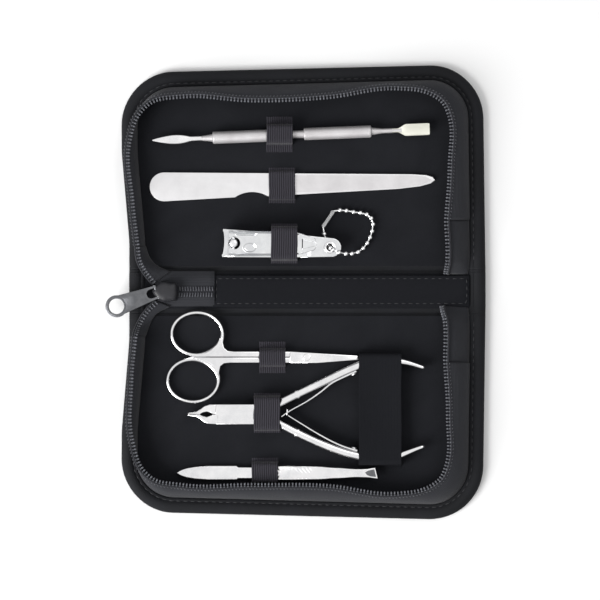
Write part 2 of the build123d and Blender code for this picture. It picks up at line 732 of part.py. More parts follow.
CLIPPER_SIDE = Plane(CLIPPER_PLANE.origin, x_dir=CLIPPER_PLANE.x_dir, z_dir=-CLIPPER_PLANE.y_dir)
ARM_MEET_Z = TAIL_Z + ARM_T + ARM_GAP / 2


def arm_outline():
    with BuildSketch() as outline:
        with BuildLine():
            ThreePointArc((JAW_X, -JAW_W / 2), (JAW_X + 0.8, 0), (JAW_X, JAW_W / 2))
            Line((JAW_X, JAW_W / 2), (SHOULDER_X, SHOULDER_W / 2))
            Line((SHOULDER_X, SHOULDER_W / 2), (EYELET_X + 0.8, TAIL_R))
            ThreePointArc((EYELET_X + 0.8, TAIL_R), (EYELET_X + 0.8 + TAIL_R, 0), (EYELET_X + 0.8, -TAIL_R))
            Line((EYELET_X + 0.8, -TAIL_R), (SHOULDER_X, -SHOULDER_W / 2))
            Line((SHOULDER_X, -SHOULDER_W / 2), (JAW_X, -JAW_W / 2))
        make_face()
    return outline.sketch


def lower_arm_side():
    with BuildSketch() as side:
        with BuildLine():
            FilletPolyline(
                (EYELET_X + TAIL_R + ARM_SPARE, TAIL_Z),
                (EYELET_X - TAIL_RUN, TAIL_Z),
                (BELLY_X, REST_Z),
                (BELLY_END_X, REST_Z),
                (JAW_X - JAW_SPARE, ARM_MEET_Z - JAW_OPEN / 2 - ARM_T),
                radius=ARM_BENDS,
            )
            offset(amount=ARM_T, side=Side.RIGHT)
        make_face()
    return side.sketch


def upper_arm_side():
    return mirror(lower_arm_side(), about=Plane.XZ.offset(-ARM_MEET_Z))


UPPER_ARM_TOP = 2 * ARM_MEET_Z - REST_Z

with BuildPart() as clipper_lower_arm:
    with BuildSketch(CLIPPER_SIDE):
        add(lower_arm_side())
    extrude(amount=JAW_W / 2 + 1, both=True)
    with BuildSketch(CLIPPER_PLANE):
        add(arm_outline())
        with Locations((EYELET_X, 0)):
            Circle(EYELET_R + EYELET_WALL + FIT_GAP / 2, mode=Mode.SUBTRACT)
        Circle(POST_R + POST_WAY, mode=Mode.SUBTRACT)
    extrude(amount=2 * UPPER_ARM_TOP, mode=Mode.INTERSECT)
clipper_lower_arm.part.label = "clipper_lower_arm"
export_step(clipper_lower_arm.part, "parts/clipper_lower_arm.step")

with BuildPart() as clipper_upper_arm:
    with BuildSketch(CLIPPER_SIDE):
        add(upper_arm_side())
    extrude(amount=JAW_W / 2 + 1, both=True)
    with BuildSketch(CLIPPER_PLANE):
        add(arm_outline())
        with Locations((EYELET_X, 0)):
            Circle(EYELET_R + EYELET_WALL + FIT_GAP / 2, mode=Mode.SUBTRACT)
        SlotCenterToCenter(1.2, 2 * (POST_R + POST_WAY), mode=Mode.SUBTRACT)
    extrude(amount=2 * UPPER_ARM_TOP, mode=Mode.INTERSECT)
clipper_upper_arm.part.label = "clipper_upper_arm"
export_step(clipper_upper_arm.part, "parts/clipper_upper_arm.step")

with BuildPart() as clipper_eyelet:
    with BuildSketch(CLIPPER_PLANE.offset(TAIL_Z - EYELET_FLANGE_T)):
        with Locations((EYELET_X, 0)):
            Circle(EYELET_FLANGE_R)
            Circle(EYELET_R, mode=Mode.SUBTRACT)
    extrude(amount=EYELET_FLANGE_T)
    with BuildSketch(CLIPPER_PLANE.offset(TAIL_Z)):
        with Locations((EYELET_X, 0)):
            Circle(EYELET_R + EYELET_WALL)
            Circle(EYELET_R, mode=Mode.SUBTRACT)
    extrude(amount=2 * (ARM_MEET_Z - TAIL_Z) + EYELET_LIFT)
    with BuildSketch(CLIPPER_PLANE.offset(2 * ARM_MEET_Z - TAIL_Z + EYELET_LIFT)):
        with Locations((EYELET_X, 0)):
            Circle(EYELET_FLANGE_R)
            Circle(EYELET_R, mode=Mode.SUBTRACT)
    extrude(amount=EYELET_FLANGE_T)
clipper_eyelet.part.label = "clipper_eyelet"
export_step(clipper_eyelet.part, "parts/clipper_eyelet.step")

LEVER_PLANE = tool_plane(CLIPPER_AT, LEVER_TURN, 0)
LEVER_SIDE = Plane(LEVER_PLANE.origin, x_dir=LEVER_PLANE.x_dir, z_dir=-LEVER_PLANE.y_dir)
CROSS_PIN_Z = UPPER_ARM_TOP + LEVER_EYE_R + LEVER_LIFT
EYE_SLOT = POST_R + 0.35

with BuildPart() as clipper_post:
    with BuildSketch(LEVER_PLANE.offset(POST_BASE_Z)):
        Circle(POST_R)
    extrude(amount=CROSS_PIN_Z + POST_HEAD - POST_BASE_Z)
    chamfer(clipper_post.faces().sort_by(Axis.Z)[-1].edges(), length=POST_EDGE)
    with BuildSketch(Plane(LEVER_PLANE.origin + Vector(0, 0, CROSS_PIN_Z), x_dir=LEVER_PLANE.x_dir,
                           z_dir=LEVER_PLANE.y_dir)):
        Circle(CROSS_PIN_R)
    extrude(amount=LEVER_W / 2 - 1.2, both=True)
clipper_post.part.label = "clipper_post"
export_step(clipper_post.part, "parts/clipper_post.step")

with BuildPart() as clipper_lever:
    with BuildSketch(LEVER_SIDE):
        with BuildLine():
            Polyline(
                (0, CROSS_PIN_Z - LEVER_EYE_R),
                (LEVER_L, CROSS_PIN_Z - LEVER_EYE_R + 0.5),
                (LEVER_L, CROSS_PIN_Z - LEVER_EYE_R + 0.5 + LEVER_T),
                (6.0, CROSS_PIN_Z - LEVER_EYE_R + LEVER_T + 0.3),
                (0, CROSS_PIN_Z + LEVER_EYE_R),
                close=True,
            )
        make_face()
        with Locations((0, CROSS_PIN_Z)):
            Circle(LEVER_EYE_R)
            Circle(CROSS_PIN_R + FIT_GAP, mode=Mode.SUBTRACT)
    extrude(amount=LEVER_W / 2, both=True)
    with BuildSketch(LEVER_PLANE.offset(UPPER_ARM_TOP)):
        with BuildLine():
            Polyline(
                (-LEVER_EYE_R - 0.5, -LEVER_W / 2),
                (SHOULDER_X, -SHOULDER_W / 2),
                (LEVER_L - 2.5, -LEVER_END_W / 2),
            )
            ThreePointArc((LEVER_L - 2.5, -LEVER_END_W / 2), (LEVER_L - 0.2, 0), (LEVER_L - 2.5, LEVER_END_W / 2))
            Polyline(
                (LEVER_L - 2.5, LEVER_END_W / 2),
                (SHOULDER_X, SHOULDER_W / 2),
                (-LEVER_EYE_R - 0.5, LEVER_W / 2),
                (-LEVER_EYE_R - 0.5, -LEVER_W / 2),
            )
        make_face()
        Rectangle(2 * (EYE_SLOT + 0.6), 2 * EYE_SLOT, mode=Mode.SUBTRACT)
        with Locations((-2, 0)):
            Rectangle(4, 2 * EYE_SLOT, mode=Mode.SUBTRACT)
    extrude(amount=3 * LEVER_EYE_R, mode=Mode.INTERSECT)
clipper_lever.part.label = "clipper_lever"
export_step(clipper_lever.part, "parts/clipper_lever.step")

# ---- Ball chain through the eyelet, closed by a folded connector ----
BEAD_R = 1.0
BEAD_SIDES = 6
BEAD_FLAT = 0.2
BEAD_TAPER = 32
LINK_R = 0.35
LINK_SIDES = 4
CONNECTOR_R = 0.95
CONNECTOR_EDGE = 0.25
LYING_Z = LINING_TOP + 0.15 + BEAD_R
OVER_Z = 2 * ARM_MEET_Z - TAIL_Z + EYELET_LIFT + EYELET_FLANGE_T + BEAD_R + 0.2
BEADS = (
    (16.0, 36.4, LYING_Z),
    (18.9, 36.2, LYING_Z),
    (22.1, 35.6, LYING_Z),
    (25.2, 35.2, LYING_Z),
    (28.1, 34.5, LYING_Z),
    (30.1, 32.8, LYING_Z),
    (30.9, 30.1, LYING_Z),
    (30.5, 27.0, LYING_Z),
    (29.6, 24.2, LYING_Z),
    (28.3, 21.6, LYING_Z),
    (26.5, 19.3, LYING_Z),
    (24.2, 17.6, LYING_Z + 0.5),
    (21.4, 16.8, LYING_Z + 1.6),
    (18.6, 16.7, OVER_Z - 1.6),
    (15.5, 17.3, OVER_Z),
    (12.9, 18.6, OVER_Z),
)
CONNECTOR_ENDS = ((13.1, 36.0), (8.3, 28.9))


def bead_chain(beads):
    # each ball is two six-sided cones, broad ends together, on a thin link
    with BuildPart() as chain:
        for start, end in zip(beads[:-1], beads[1:]):
            along = Vector(*end) - Vector(*start)
            with BuildSketch(Plane(origin=start, z_dir=along)):
                RegularPolygon(LINK_R, LINK_SIDES)
            extrude(amount=along.length)
        for i, bead in enumerate(beads):
            along = Vector(*beads[min(i + 1, len(beads) - 1)]) - Vector(*beads[max(i - 1, 0)])
            for way in (along, -along):
                with BuildSketch(Plane(origin=bead, z_dir=way)):
                    RegularPolygon(BEAD_R, BEAD_SIDES)
                extrude(amount=BEAD_R - BEAD_FLAT, taper=BEAD_TAPER)
    return chain.part


eyelet_mid = CLIPPER_PLANE.from_local_coords((EYELET_X, 0, 0))
ball_chain = bead_chain(
    BEADS
    + (
        (eyelet_mid.X + 0.3, eyelet_mid.Y - 0.2, ARM_MEET_Z + 0.9),
        (eyelet_mid.X - 0.3, eyelet_mid.Y + 0.3, LYING_Z + 0.3),
        (9.7, 22.7, LYING_Z),
        (8.9, 25.7, LYING_Z),
    )
)
ball_chain.label = "ball_chain"
export_step(ball_chain, "parts/ball_chain.step")

with BuildPart() as chain_connector:
    start, end = (Vector(x, y, LYING_Z) for x, y in CONNECTOR_ENDS)
    with BuildSketch(Plane(origin=start, z_dir=end - start)):
        Circle(CONNECTOR_R)
    extrude(amount=(end - start).length)
    chamfer(chain_connector.faces().filter_by(GeomType.PLANE).edges(), length=CONNECTOR_EDGE)
chain_connector.part.label = "chain_connector"
export_step(chain_connector.part, "parts/chain_connector.step")

# ---- Scissors: two lapped halves on a screw ----
SCISSORS_AT = (1.1, -29.8)
SCISSORS_TURN = 1.0
SCISSORS_T = 3.0
LAP_GAP = 0.1
SPLIT_GAP = 0.15
LAP_R = 8.4
LAP_WAY = 0.35
SHANK_W = 2.6
BLADE_TIP = (26.6, -0.6)
BOW_CENTRES = {UPPER: (-49.7, 10.55), LOWER: (-51.4, -10.55)}
BOW_RX = 12.1
BOW_RY = 10.05
BOW_WALL_X = 1.6
BOW_WALL_Y = 1.35
BOW_EDGE = 0.45
SCREW_R = 1.0
SCREW_HEAD_R = 1.7
SCREW_HEAD_T = 0.6
SCISSORS_PLANE = tool_plane(SCISSORS_AT, SCISSORS_TURN, REST_Z)
LAP_T = (SCISSORS_T - LAP_GAP) / 2


def scissors_half(side):
    bow_x, bow_y = BOW_CENTRES[side]
    own_z = 0 if side == UPPER else LAP_T + LAP_GAP
    other_z = LAP_T + LAP_GAP if side == UPPER else 0
    with BuildPart() as half:
        with BuildSketch(SCISSORS_PLANE):
            with Locations((bow_x, bow_y)):
                Ellipse(BOW_RX, BOW_RY)
                Ellipse(BOW_RX - BOW_WALL_X, BOW_RY - BOW_WALL_Y, mode=Mode.SUBTRACT)
        extrude(amount=SCISSORS_T)
        chamfer(half.edges(), length=BOW_EDGE)
        with BuildSketch(SCISSORS_PLANE):
            with BuildLine():
                Polyline(
                    (bow_x + 4, side * SPLIT_GAP / 2),
                    (-LAP_R + 2, side * SPLIT_GAP / 2),
                    (-LAP_R + 2, side * SHANK_W),
                    (bow_x + BOW_RX + 3.6, side * SHANK_W),
                    (bow_x + BOW_RX + 0.6, side * (SHANK_W + 0.9)),
                    (bow_x + BOW_RX - 0.5, side * (SHANK_W + 3.4)),
                    (bow_x + 4, side * (SHANK_W + 3.4)),
                    close=True,
                )
            make_face()
            with Locations((bow_x, bow_y)):
                Ellipse(BOW_RX - BOW_WALL_X / 2, BOW_RY - BOW_WALL_Y / 2, mode=Mode.SUBTRACT)
        extrude(amount=SCISSORS_T)
        with BuildSketch(SCISSORS_PLANE.offset(other_z - LAP_GAP / 2)):
            Circle(LAP_R + LAP_WAY)
        extrude(amount=LAP_T + LAP_GAP, mode=Mode.SUBTRACT)
        with BuildSketch(SCISSORS_PLANE.offset(own_z)):
            with BuildLine():
                Polyline(
                    (-LAP_R + 0.6, -SHANK_W),
                    (4.0, -SHANK_W),
                    (BLADE_TIP[0], BLADE_TIP[1] - 0.25),
                    (BLADE_TIP[0], BLADE_TIP[1] + 0.25),
                    (-LAP_R + 0.6, SHANK_W),
                    close=True,
                )
            make_face()
            Circle(SCREW_R + FIT_GAP, mode=Mode.SUBTRACT)
        extrude(amount=LAP_T)
    return half.part


scissors_lower_blade = scissors_half(UPPER)
scissors_lower_blade.label = "scissors_lower_blade"
export_step(scissors_lower_blade, "parts/scissors_lower_blade.step")

scissors_upper_blade = scissors_half(LOWER)
scissors_upper_blade.label = "scissors_upper_blade"
export_step(scissors_upper_blade, "parts/scissors_upper_blade.step")

with BuildPart() as scissors_screw:
    with BuildSketch(SCISSORS_PLANE.offset(0.1)):
        Circle(SCREW_R)
    extrude(amount=SCISSORS_T - 0.1)
    with BuildSketch(SCISSORS_PLANE.offset(SCISSORS_T)):
        Circle(SCREW_HEAD_R)
    extrude(amount=SCREW_HEAD_T)
scissors_screw.part.label = "scissors_screw"
export_step(scissors_screw.part, "parts/scissors_screw.step")

# ---- Cuticle nipper: lapped halves on a pivot, a leaf spring screwed to each handle ----
NIPPER_AT = (-18.7, -55.4)
NIPPER_T = 6.4
HEAD_W = 9.0
HEAD_R = 21.4
HEAD_BACK_R = 6.2
NIPPER_WAY = 0.3
HANDLE_T = 4.4
HANDLE_W = 3.5
HANDLE_EDGE = 0.8
JAW_REACH = 12.5
HOLLOW_START = 1.0
HOLLOW_MIDDLE = 3.8
HOLLOW_END = 7.0
HOLLOW_DEPTH = 1.25
JAW_TIP_X = -HEAD_R - JAW_REACH
HOLLOW = ((-HEAD_R - HOLLOW_START, 0), (-HEAD_R - HOLLOW_MIDDLE, HOLLOW_DEPTH), (-HEAD_R - HOLLOW_END, 0))
JAW_TIP_W = 0.6
JAW_NECK_X = 1.2
JAW_NECK_W = 1.3
JAW_ROOT_X = 0.8
JAW_ROOT_SHARE = 0.44
UPPER_HANDLE = ((3.0, 2.6), (7.9, 5.2), (24.7, 13.3), (42.6, 21.6), (50.7, 24.2), (62.4, 23.7), (73.2, 20.7))
LOWER_HANDLE = ((3.0, -2.3), (7.3, -4.3), (15.2, -8.3), (33.1, -16.0), (42.3, -18.6), (52.7, -20.3), (73.0, -14.2))
SPRING_T = 0.8
SPRING_H = 2.8
UPPER_SPRING = ((41.4, 18.6), (34.0, 14.8), (25.0, 9.6), (20.5, 5.9), (11.2, 0.9))
LOWER_SPRING = ((42.4, -15.6), (33.0, -13.2), (25.0, -8.6), (18.0, -4.4), (11.2, -0.5))
HOOK_H = 3.6
SPRING_SCREW_R = 0.7
SPRING_SCREW_HEAD_R = 1.3
SPRING_SCREW_HEAD_T = 0.7
SPRING_SCREW_IN = 1.6
SPRING_SCREW_SEAT = 0.12
PIVOT_R = 2.0
NIPPER_PLANE = tool_plane(NIPPER_AT, 0, REST_Z)
NIPPER_LAP_T = (NIPPER_T - LAP_GAP) / 2
HANDLE_Z = (NIPPER_T - HANDLE_T) / 2


def nipper_half(side):
    # the upper handle's half is the top layer and carries the lower jaw
    own_z = NIPPER_LAP_T + LAP_GAP if side == UPPER else 0
    other_z = 0 if side == UPPER else NIPPER_LAP_T + LAP_GAP
    jaw = -side
    route = UPPER_HANDLE if side == UPPER else LOWER_HANDLE
    with BuildPart() as half:
        with BuildSketch(NIPPER_PLANE.offset(HANDLE_Z)):
            with BuildLine():
                Spline(*route)
            trace(line_width=HANDLE_W)
        extrude(amount=HANDLE_T)
        chamfer(half.edges().filter_by(Plane.XY), length=HANDLE_EDGE)
        with BuildSketch(NIPPER_PLANE.offset(0)):
            with BuildLine():
                Line((1 - HEAD_R, jaw * SPLIT_GAP / 2), (HOLLOW[0][0], jaw * SPLIT_GAP / 2))
                ThreePointArc(
                    (HOLLOW[0][0], jaw * SPLIT_GAP / 2),
                    (HOLLOW[1][0], jaw * HOLLOW[1][1]),
                    (HOLLOW[2][0], jaw * SPLIT_GAP / 2),
                )
                Polyline(
                    (HOLLOW[2][0], jaw * SPLIT_GAP / 2),
                    (JAW_TIP_X, jaw * SPLIT_GAP / 2),
                    (JAW_TIP_X, jaw * JAW_TIP_W),
                    (HOLLOW[2][0] - JAW_NECK_X, jaw * JAW_NECK_W),
                    (HOLLOW[1][0] - JAW_ROOT_X, jaw * HEAD_W * JAW_ROOT_SHARE),
                    (1 - HEAD_R, jaw * HEAD_W / 2),
                    (1 - HEAD_R, jaw * SPLIT_GAP / 2),
                )
            make_face()
        extrude(amount=NIPPER_T)
        with BuildSketch(NIPPER_PLANE.offset(other_z - LAP_GAP / 2)):
            Circle(HEAD_R + NIPPER_WAY)
            with Locations((HEAD_R, 0)):
                Rectangle(2 * HEAD_R, 3 * HEAD_R, mode=Mode.SUBTRACT)
            Circle(HEAD_BACK_R + NIPPER_WAY)
        extrude(amount=NIPPER_LAP_T + LAP_GAP, mode=Mode.SUBTRACT)
        with BuildSketch(NIPPER_PLANE.offset(own_z)):
            with BuildLine():
                half_w = HEAD_W / 2
                left_x = -math.sqrt(HEAD_R**2 - half_w**2)
                right_x = math.sqrt(HEAD_BACK_R**2 - half_w**2)
                ThreePointArc((left_x, half_w), (-HEAD_R, 0), (left_x, -half_w))
                Line((left_x, -half_w), (right_x, -half_w))
                ThreePointArc((right_x, -half_w), (HEAD_BACK_R, 0), (right_x, half_w))
                Line((right_x, half_w), (left_x, half_w))
            make_face()
            Circle(PIVOT_R + FIT_GAP, mode=Mode.SUBTRACT)
        extrude(amount=NIPPER_LAP_T)
        add(spring_screw(side, SPRING_SCREW_R + FIT_GAP / 2, 3.0), mode=Mode.SUBTRACT)
    return half.part


def spring_route(side):
    return UPPER_SPRING if side == UPPER else LOWER_SPRING


def spring_screw_plane(side):
    first, second = spring_route(side)[0], spring_route(side)[1]
    along = Vector(first[0] - second[0], first[1] - second[1], 0).normalized()
    outward = Vector(-along.Y, along.X, 0) * side
    at = Vector(*first) - along * SPRING_SCREW_IN - outward * (SPRING_T / 2 + SPRING_SCREW_SEAT)
    centre = NIPPER_PLANE.from_local_coords((at.X, at.Y, NIPPER_T / 2))
    return Plane(origin=centre, z_dir=outward)


def spring_screw(side, radius, depth):
    with BuildPart() as shank:
        with BuildSketch(spring_screw_plane(side)):
            Circle(radius)
        extrude(amount=depth)
    return shank.part


def nipper_spring(side):
    route = spring_route(side)
    end_x, end_y = route[-1]
    with BuildPart() as spring:
        with BuildSketch(NIPPER_PLANE.offset((NIPPER_T - SPRING_H) / 2)):
            with BuildLine():
                Spline(*route)
            trace(line_width=SPRING_T)
        extrude(amount=SPRING_H)
        if side == UPPER:
            with BuildSketch(NIPPER_PLANE.offset((NIPPER_T - HOOK_H) / 2)):
                with Locations((end_x - 0.2, end_y)):
                    Circle(0.9)
            extrude(amount=HOOK_H)
        add(spring_screw(side, SPRING_SCREW_R + FIT_GAP / 2, 3.0), mode=Mode.SUBTRACT)
    return spring.part


nipper_top_half = nipper_half(UPPER)
nipper_top_half.label = "nipper_top_half"
export_step(nipper_top_half, "parts/nipper_top_half.step")

nipper_bottom_half = nipper_half(LOWER)
nipper_bottom_half.label = "nipper_bottom_half"
export_step(nipper_bottom_half, "parts/nipper_bottom_half.step")

with BuildPart() as nipper_pivot:
    with BuildSketch(NIPPER_PLANE.offset(0.1)):
        Circle(PIVOT_R)
    extrude(amount=NIPPER_T + 0.2)
nipper_pivot.part.label = "nipper_pivot"
export_step(nipper_pivot.part, "parts/nipper_pivot.step")

for side, side_name in ((UPPER, "upper"), (LOWER, "lower")):
    spring = nipper_spring(side)
    spring.label = f"nipper_{side_name}_spring"
    export_step(spring, f"parts/nipper_{side_name}_spring.step")

    with BuildPart() as screw:
        add(spring_screw(side, SPRING_SCREW_R, 2.6))
        head_plane = spring_screw_plane(side)
        with BuildSketch(head_plane):
            Circle(SPRING_SCREW_HEAD_R)
        extrude(amount=-SPRING_SCREW_HEAD_T)
    screw.part.label = f"nipper_{side_name}_spring_screw"
    export_step(screw.part, f"parts/nipper_{side_name}_spring_screw.step")

# ---- Tweezers: two sprung arms welded at the leaf-shaped back ----
TWEEZERS_AT = (-57.3, -81.9)
TWEEZERS_TURN = -0.5
TWEEZERS_T = 1.0
LEAF_L = 26.9
LEAF_W = 6.4
LEAF_POINT = (6.5, 2.1)
LEAF_FULL_X = 14.5
LEAF_STEP = 0.6
TWEEZERS_SHANK_W = 5.0
GRIP_X = 45.0
GRIP_W = 6.3
GRIP_END_X = 63.0
NECK_X = 84.0
NECK_W = 3.7
GRIP_RUN_IN = 8.0
GRIP_RUN_ON = 3.0
GRIP_END_SHARE = 0.46
NECK_RUN_IN = 4.0
TIP_X = 89.8
TIP_W = 5.0
TIP_SLANT = 1.2
WELD_X = 24.0
WELD_GAP = 0.05
ARCH_X = 58.0
ARCH_Z = 3.6
TIP_Z = 2.4
TWEEZERS_PLANE = tool_plane(TWEEZERS_AT, TWEEZERS_TURN, REST_Z)
TWEEZERS_SIDE = Plane(TWEEZERS_PLANE.origin, x_dir=TWEEZERS_PLANE.x_dir, z_dir=-TWEEZERS_PLANE.y_dir)


def tweezers_outline():
    with BuildSketch() as outline:
        with BuildLine():
            for s in (1, -1):
                Spline((0, 0), (LEAF_POINT[0], s * LEAF_POINT[1]), (LEAF_FULL_X, s * LEAF_W / 2), (LEAF_L, s * LEAF_W / 2))
                Line((LEAF_L, s * LEAF_W / 2), (LEAF_L + LEAF_STEP, s * TWEEZERS_SHANK_W / 2))
                Spline(
                    (LEAF_L + LEAF_STEP, s * TWEEZERS_SHANK_W / 2),
                    (GRIP_X - GRIP_RUN_IN, s * TWEEZERS_SHANK_W / 2),
                    (GRIP_X + GRIP_RUN_ON, s * GRIP_W / 2),
                    (GRIP_END_X, s * GRIP_W * GRIP_END_SHARE),
                    (NECK_X - NECK_RUN_IN, s * NECK_W / 2),
                    (TIP_X - TIP_SLANT, s * TIP_W / 2),
                )
            Polyline(
                (TIP_X - TIP_SLANT, TIP_W / 2),
                (TIP_X - TIP_SLANT / 2, TIP_W / 2 - TIP_SLANT / 3),
                (TIP_X, -TIP_W / 2 + TIP_SLANT / 2),
                (TIP_X - TIP_SLANT, -TIP_W / 2),
            )
        make_face()
    return outline.sketch


with BuildPart() as tweezers_bottom_arm:
    with BuildSketch(TWEEZERS_PLANE):
        add(tweezers_outline())
    extrude(amount=TWEEZERS_T)
tweezers_bottom_arm.part.label = "tweezers_bottom_arm"
export_step(tweezers_bottom_arm.part, "parts/tweezers_bottom_arm.step")

with BuildPart() as tweezers_top_arm:
    base_z = TWEEZERS_T + WELD_GAP
    with BuildSketch(TWEEZERS_SIDE):
        with BuildLine():
            under = Spline(
                (WELD_X, base_z),
                (ARCH_X, ARCH_Z),
                (TIP_X + 1, base_z + TIP_Z),
                tangents=[(1, 0), (1, -0.12)],
            )
            over = Spline(
                (WELD_X, base_z + TWEEZERS_T),
                (ARCH_X, ARCH_Z + TWEEZERS_T),
                (TIP_X + 1, base_z + TIP_Z + TWEEZERS_T),
                tangents=[(1, 0), (1, -0.12)],
            )
            Polyline(under @ 0, (-1, base_z), (-1, base_z + TWEEZERS_T), over @ 0)
            Line(under @ 1, over @ 1)
        make_face()
    extrude(amount=LEAF_W, both=True)
    with BuildSketch(TWEEZERS_PLANE):
        add(tweezers_outline())
    extrude(amount=12, mode=Mode.INTERSECT)
tweezers_top_arm.part.label = "tweezers_top_arm"
export_step(tweezers_top_arm.part, "parts/tweezers_top_arm.step")
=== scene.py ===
import math

import bmesh
import bpy
from mathutils import Matrix, Vector, noise


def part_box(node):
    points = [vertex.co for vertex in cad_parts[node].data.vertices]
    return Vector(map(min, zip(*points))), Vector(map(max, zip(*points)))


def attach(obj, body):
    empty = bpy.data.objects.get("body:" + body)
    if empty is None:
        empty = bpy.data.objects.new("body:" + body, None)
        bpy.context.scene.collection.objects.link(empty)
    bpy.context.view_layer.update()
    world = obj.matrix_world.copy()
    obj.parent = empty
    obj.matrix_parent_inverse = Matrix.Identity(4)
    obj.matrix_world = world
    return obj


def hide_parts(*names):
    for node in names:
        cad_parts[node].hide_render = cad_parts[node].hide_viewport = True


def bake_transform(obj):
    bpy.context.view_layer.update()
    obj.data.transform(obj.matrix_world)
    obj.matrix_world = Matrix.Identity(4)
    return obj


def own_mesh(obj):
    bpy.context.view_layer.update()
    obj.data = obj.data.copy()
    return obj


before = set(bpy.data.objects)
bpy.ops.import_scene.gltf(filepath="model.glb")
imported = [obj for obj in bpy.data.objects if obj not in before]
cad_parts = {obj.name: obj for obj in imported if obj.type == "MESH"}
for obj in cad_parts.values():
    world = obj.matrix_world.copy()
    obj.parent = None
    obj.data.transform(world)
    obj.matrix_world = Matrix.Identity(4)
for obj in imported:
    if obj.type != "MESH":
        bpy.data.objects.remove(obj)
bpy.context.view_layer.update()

# Zip-round manicure case, lying open. Sizes are written in millimetres and turned into metres here.
mm = 0.001
lower, upper = -1, 1
sideName = {lower: "lower", upper: "upper"}
up = Vector((0, 0, 1))


# small helpers

def hexColor(text, alpha=1.0):
    channels = [int(text[i:i + 2], 16) / 255 for i in (0, 2, 4)]
    return tuple(c / 12.92 if c <= 0.04045 else ((c + 0.055) / 1.055) ** 2.4 for c in channels) + (alpha,)


def roundedPath(points, radii, step=2.0):  # straight runs joined by arcs, in millimetres
    path = [Vector(points[0])]
    for before, corner, after, radius in zip(points, points[1:], points[2:], radii):
        corner = Vector(corner)
        into = (Vector(before) - corner).normalized()
        away = (Vector(after) - corner).normalized()
        half = into.angle(away) / 2
        reach = radius / math.tan(half)
        centre = corner + (into + away).normalized() * (radius / math.sin(half))
        start = corner + into * reach - centre
        turn = math.pi - 2 * half
        sign = 1 if into.x * away.y - into.y * away.x < 0 else -1
        count = max(int(radius * turn / step), 3)
        for i in range(count + 1):
            angle = sign * turn * i / count
            spun = Matrix.Rotation(angle, 2) @ Vector((start.x, start.y))
            path.append(Vector((centre.x + spun.x, centre.y + spun.y)))
    path.append(Vector(points[-1]))
    return path


def lengths(path):
    run = [0.0]
    for a, b in zip(path, path[1:]):
        run.append(run[-1] + (b - a).length)
    return run


def pointAt(path, run, share):  # place at a share of the path's length
    want = min(max(share, 0.0), 1.0) * run[-1]
    i = min(next((k for k, r in enumerate(run) if r >= want), len(run) - 1), len(run) - 1)
    i = max(i, 1)
    span = run[i] - run[i - 1]
    return path[i - 1].lerp(path[i], (want - run[i - 1]) / span if span else 0)


def resample(path, count):
    run = lengths(path)
    return [pointAt(path, run, i / (count - 1)) for i in range(count)]


def headings(path):
    return [(b - a).normalized() for a, b in zip([path[0]] + path[:-1], path[1:] + [path[-1]])]


def loft(rows, closed=False, caps=False):  # each row is a section, swept on by extruding its edges
    bm = bmesh.new()
    uvLayer = bm.loops.layers.uv.new("UVMap")
    places = {}
    row = [bm.verts.new(p * mm) for p in rows[0]]
    pairs = list(zip(row, row[1:])) + ([(row[-1], row[0])] if closed else [])
    edges = [bm.edges.new(pair) for pair in pairs]
    firstEdges = list(edges)
    along = 0.0
    for i, section in enumerate(rows):
        if i:
            along += (section[0] - rows[i - 1][0]).length * mm
            made = bmesh.ops.extrude_edge_only(bm, edges=edges)["geom"]
            fresh = {v for v in made if isinstance(v, bmesh.types.BMVert)}
            nextRow = []
            for vert in row:
                nextRow.append(next(e.other_vert(vert) for e in vert.link_edges if e.other_vert(vert) in fresh))
            for vert, place in zip(nextRow, section):
                vert.co = place * mm
            pairs = list(zip(nextRow, nextRow[1:])) + ([(nextRow[-1], nextRow[0])] if closed else [])
            edges = [bm.edges.get(pair) for pair in pairs]
            row = nextRow
        across = 0.0
        for j, vert in enumerate(row):
            across += (section[j] - section[j - 1]).length * mm if j else 0
            places[vert] = (along, across)
    for face in bm.faces:
        for loop in face.loops:
            loop[uvLayer].uv = places[loop.vert]
    if caps and closed:
        bmesh.ops.contextual_create(bm, geom=firstEdges)
        bmesh.ops.contextual_create(bm, geom=edges)
    return bm


def reachOut(y, side):  # the lower half reaches a little further than the upper one
    fold, grow = caseShape["panelY"], caseShape["reach"][side]
    return fold + (y - fold) * grow if y > fold else y


def mirrorSide(bm, side, reach=False):  # the lower half is the upper one mirrored
    if reach:
        for vert in bm.verts:
            vert.co.y = reachOut(vert.co.y / mm, side) * mm
    if side == lower:
        bmesh.ops.scale(bm, vec=(1, -1, 1), verts=bm.verts)


def finishMesh(name, bm, material, body, replaces=(), smooth=True, sharp=None, outward=True):
    bmesh.ops.remove_doubles(bm, verts=bm.verts, dist=1e-7)
    if outward:
        bmesh.ops.recalc_face_normals(bm, faces=bm.faces)
    mesh = bpy.data.meshes.new(name)
    bm.to_mesh(mesh)
    bm.free()
    piece = bpy.data.objects.new(name, mesh)
    bpy.context.scene.collection.objects.link(piece)
    mesh.materials.append(material)
    for face in mesh.polygons:
        face.use_smooth = smooth
    if sharp:
        mesh.set_sharp_from_angle(angle=math.radians(sharp))
    if body:
        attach(piece, body)
    if replaces:
        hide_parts(*replaces)
    return piece


def joinInto(bm, other):  # adds a finished bmesh to another one
    mesh = bpy.data.meshes.new("joined")
    other.to_mesh(mesh)
    other.free()
    bm.from_mesh(mesh)
    bpy.data.meshes.remove(mesh)


def block(bm, at, size, turn=Matrix.Identity(4)):
    bmesh.ops.create_cube(bm, size=1, matrix=Matrix.Translation(Vector(at) * mm) @ turn
                          @ Matrix.Diagonal((size[0] * mm, size[1] * mm, size[2] * mm, 1)))


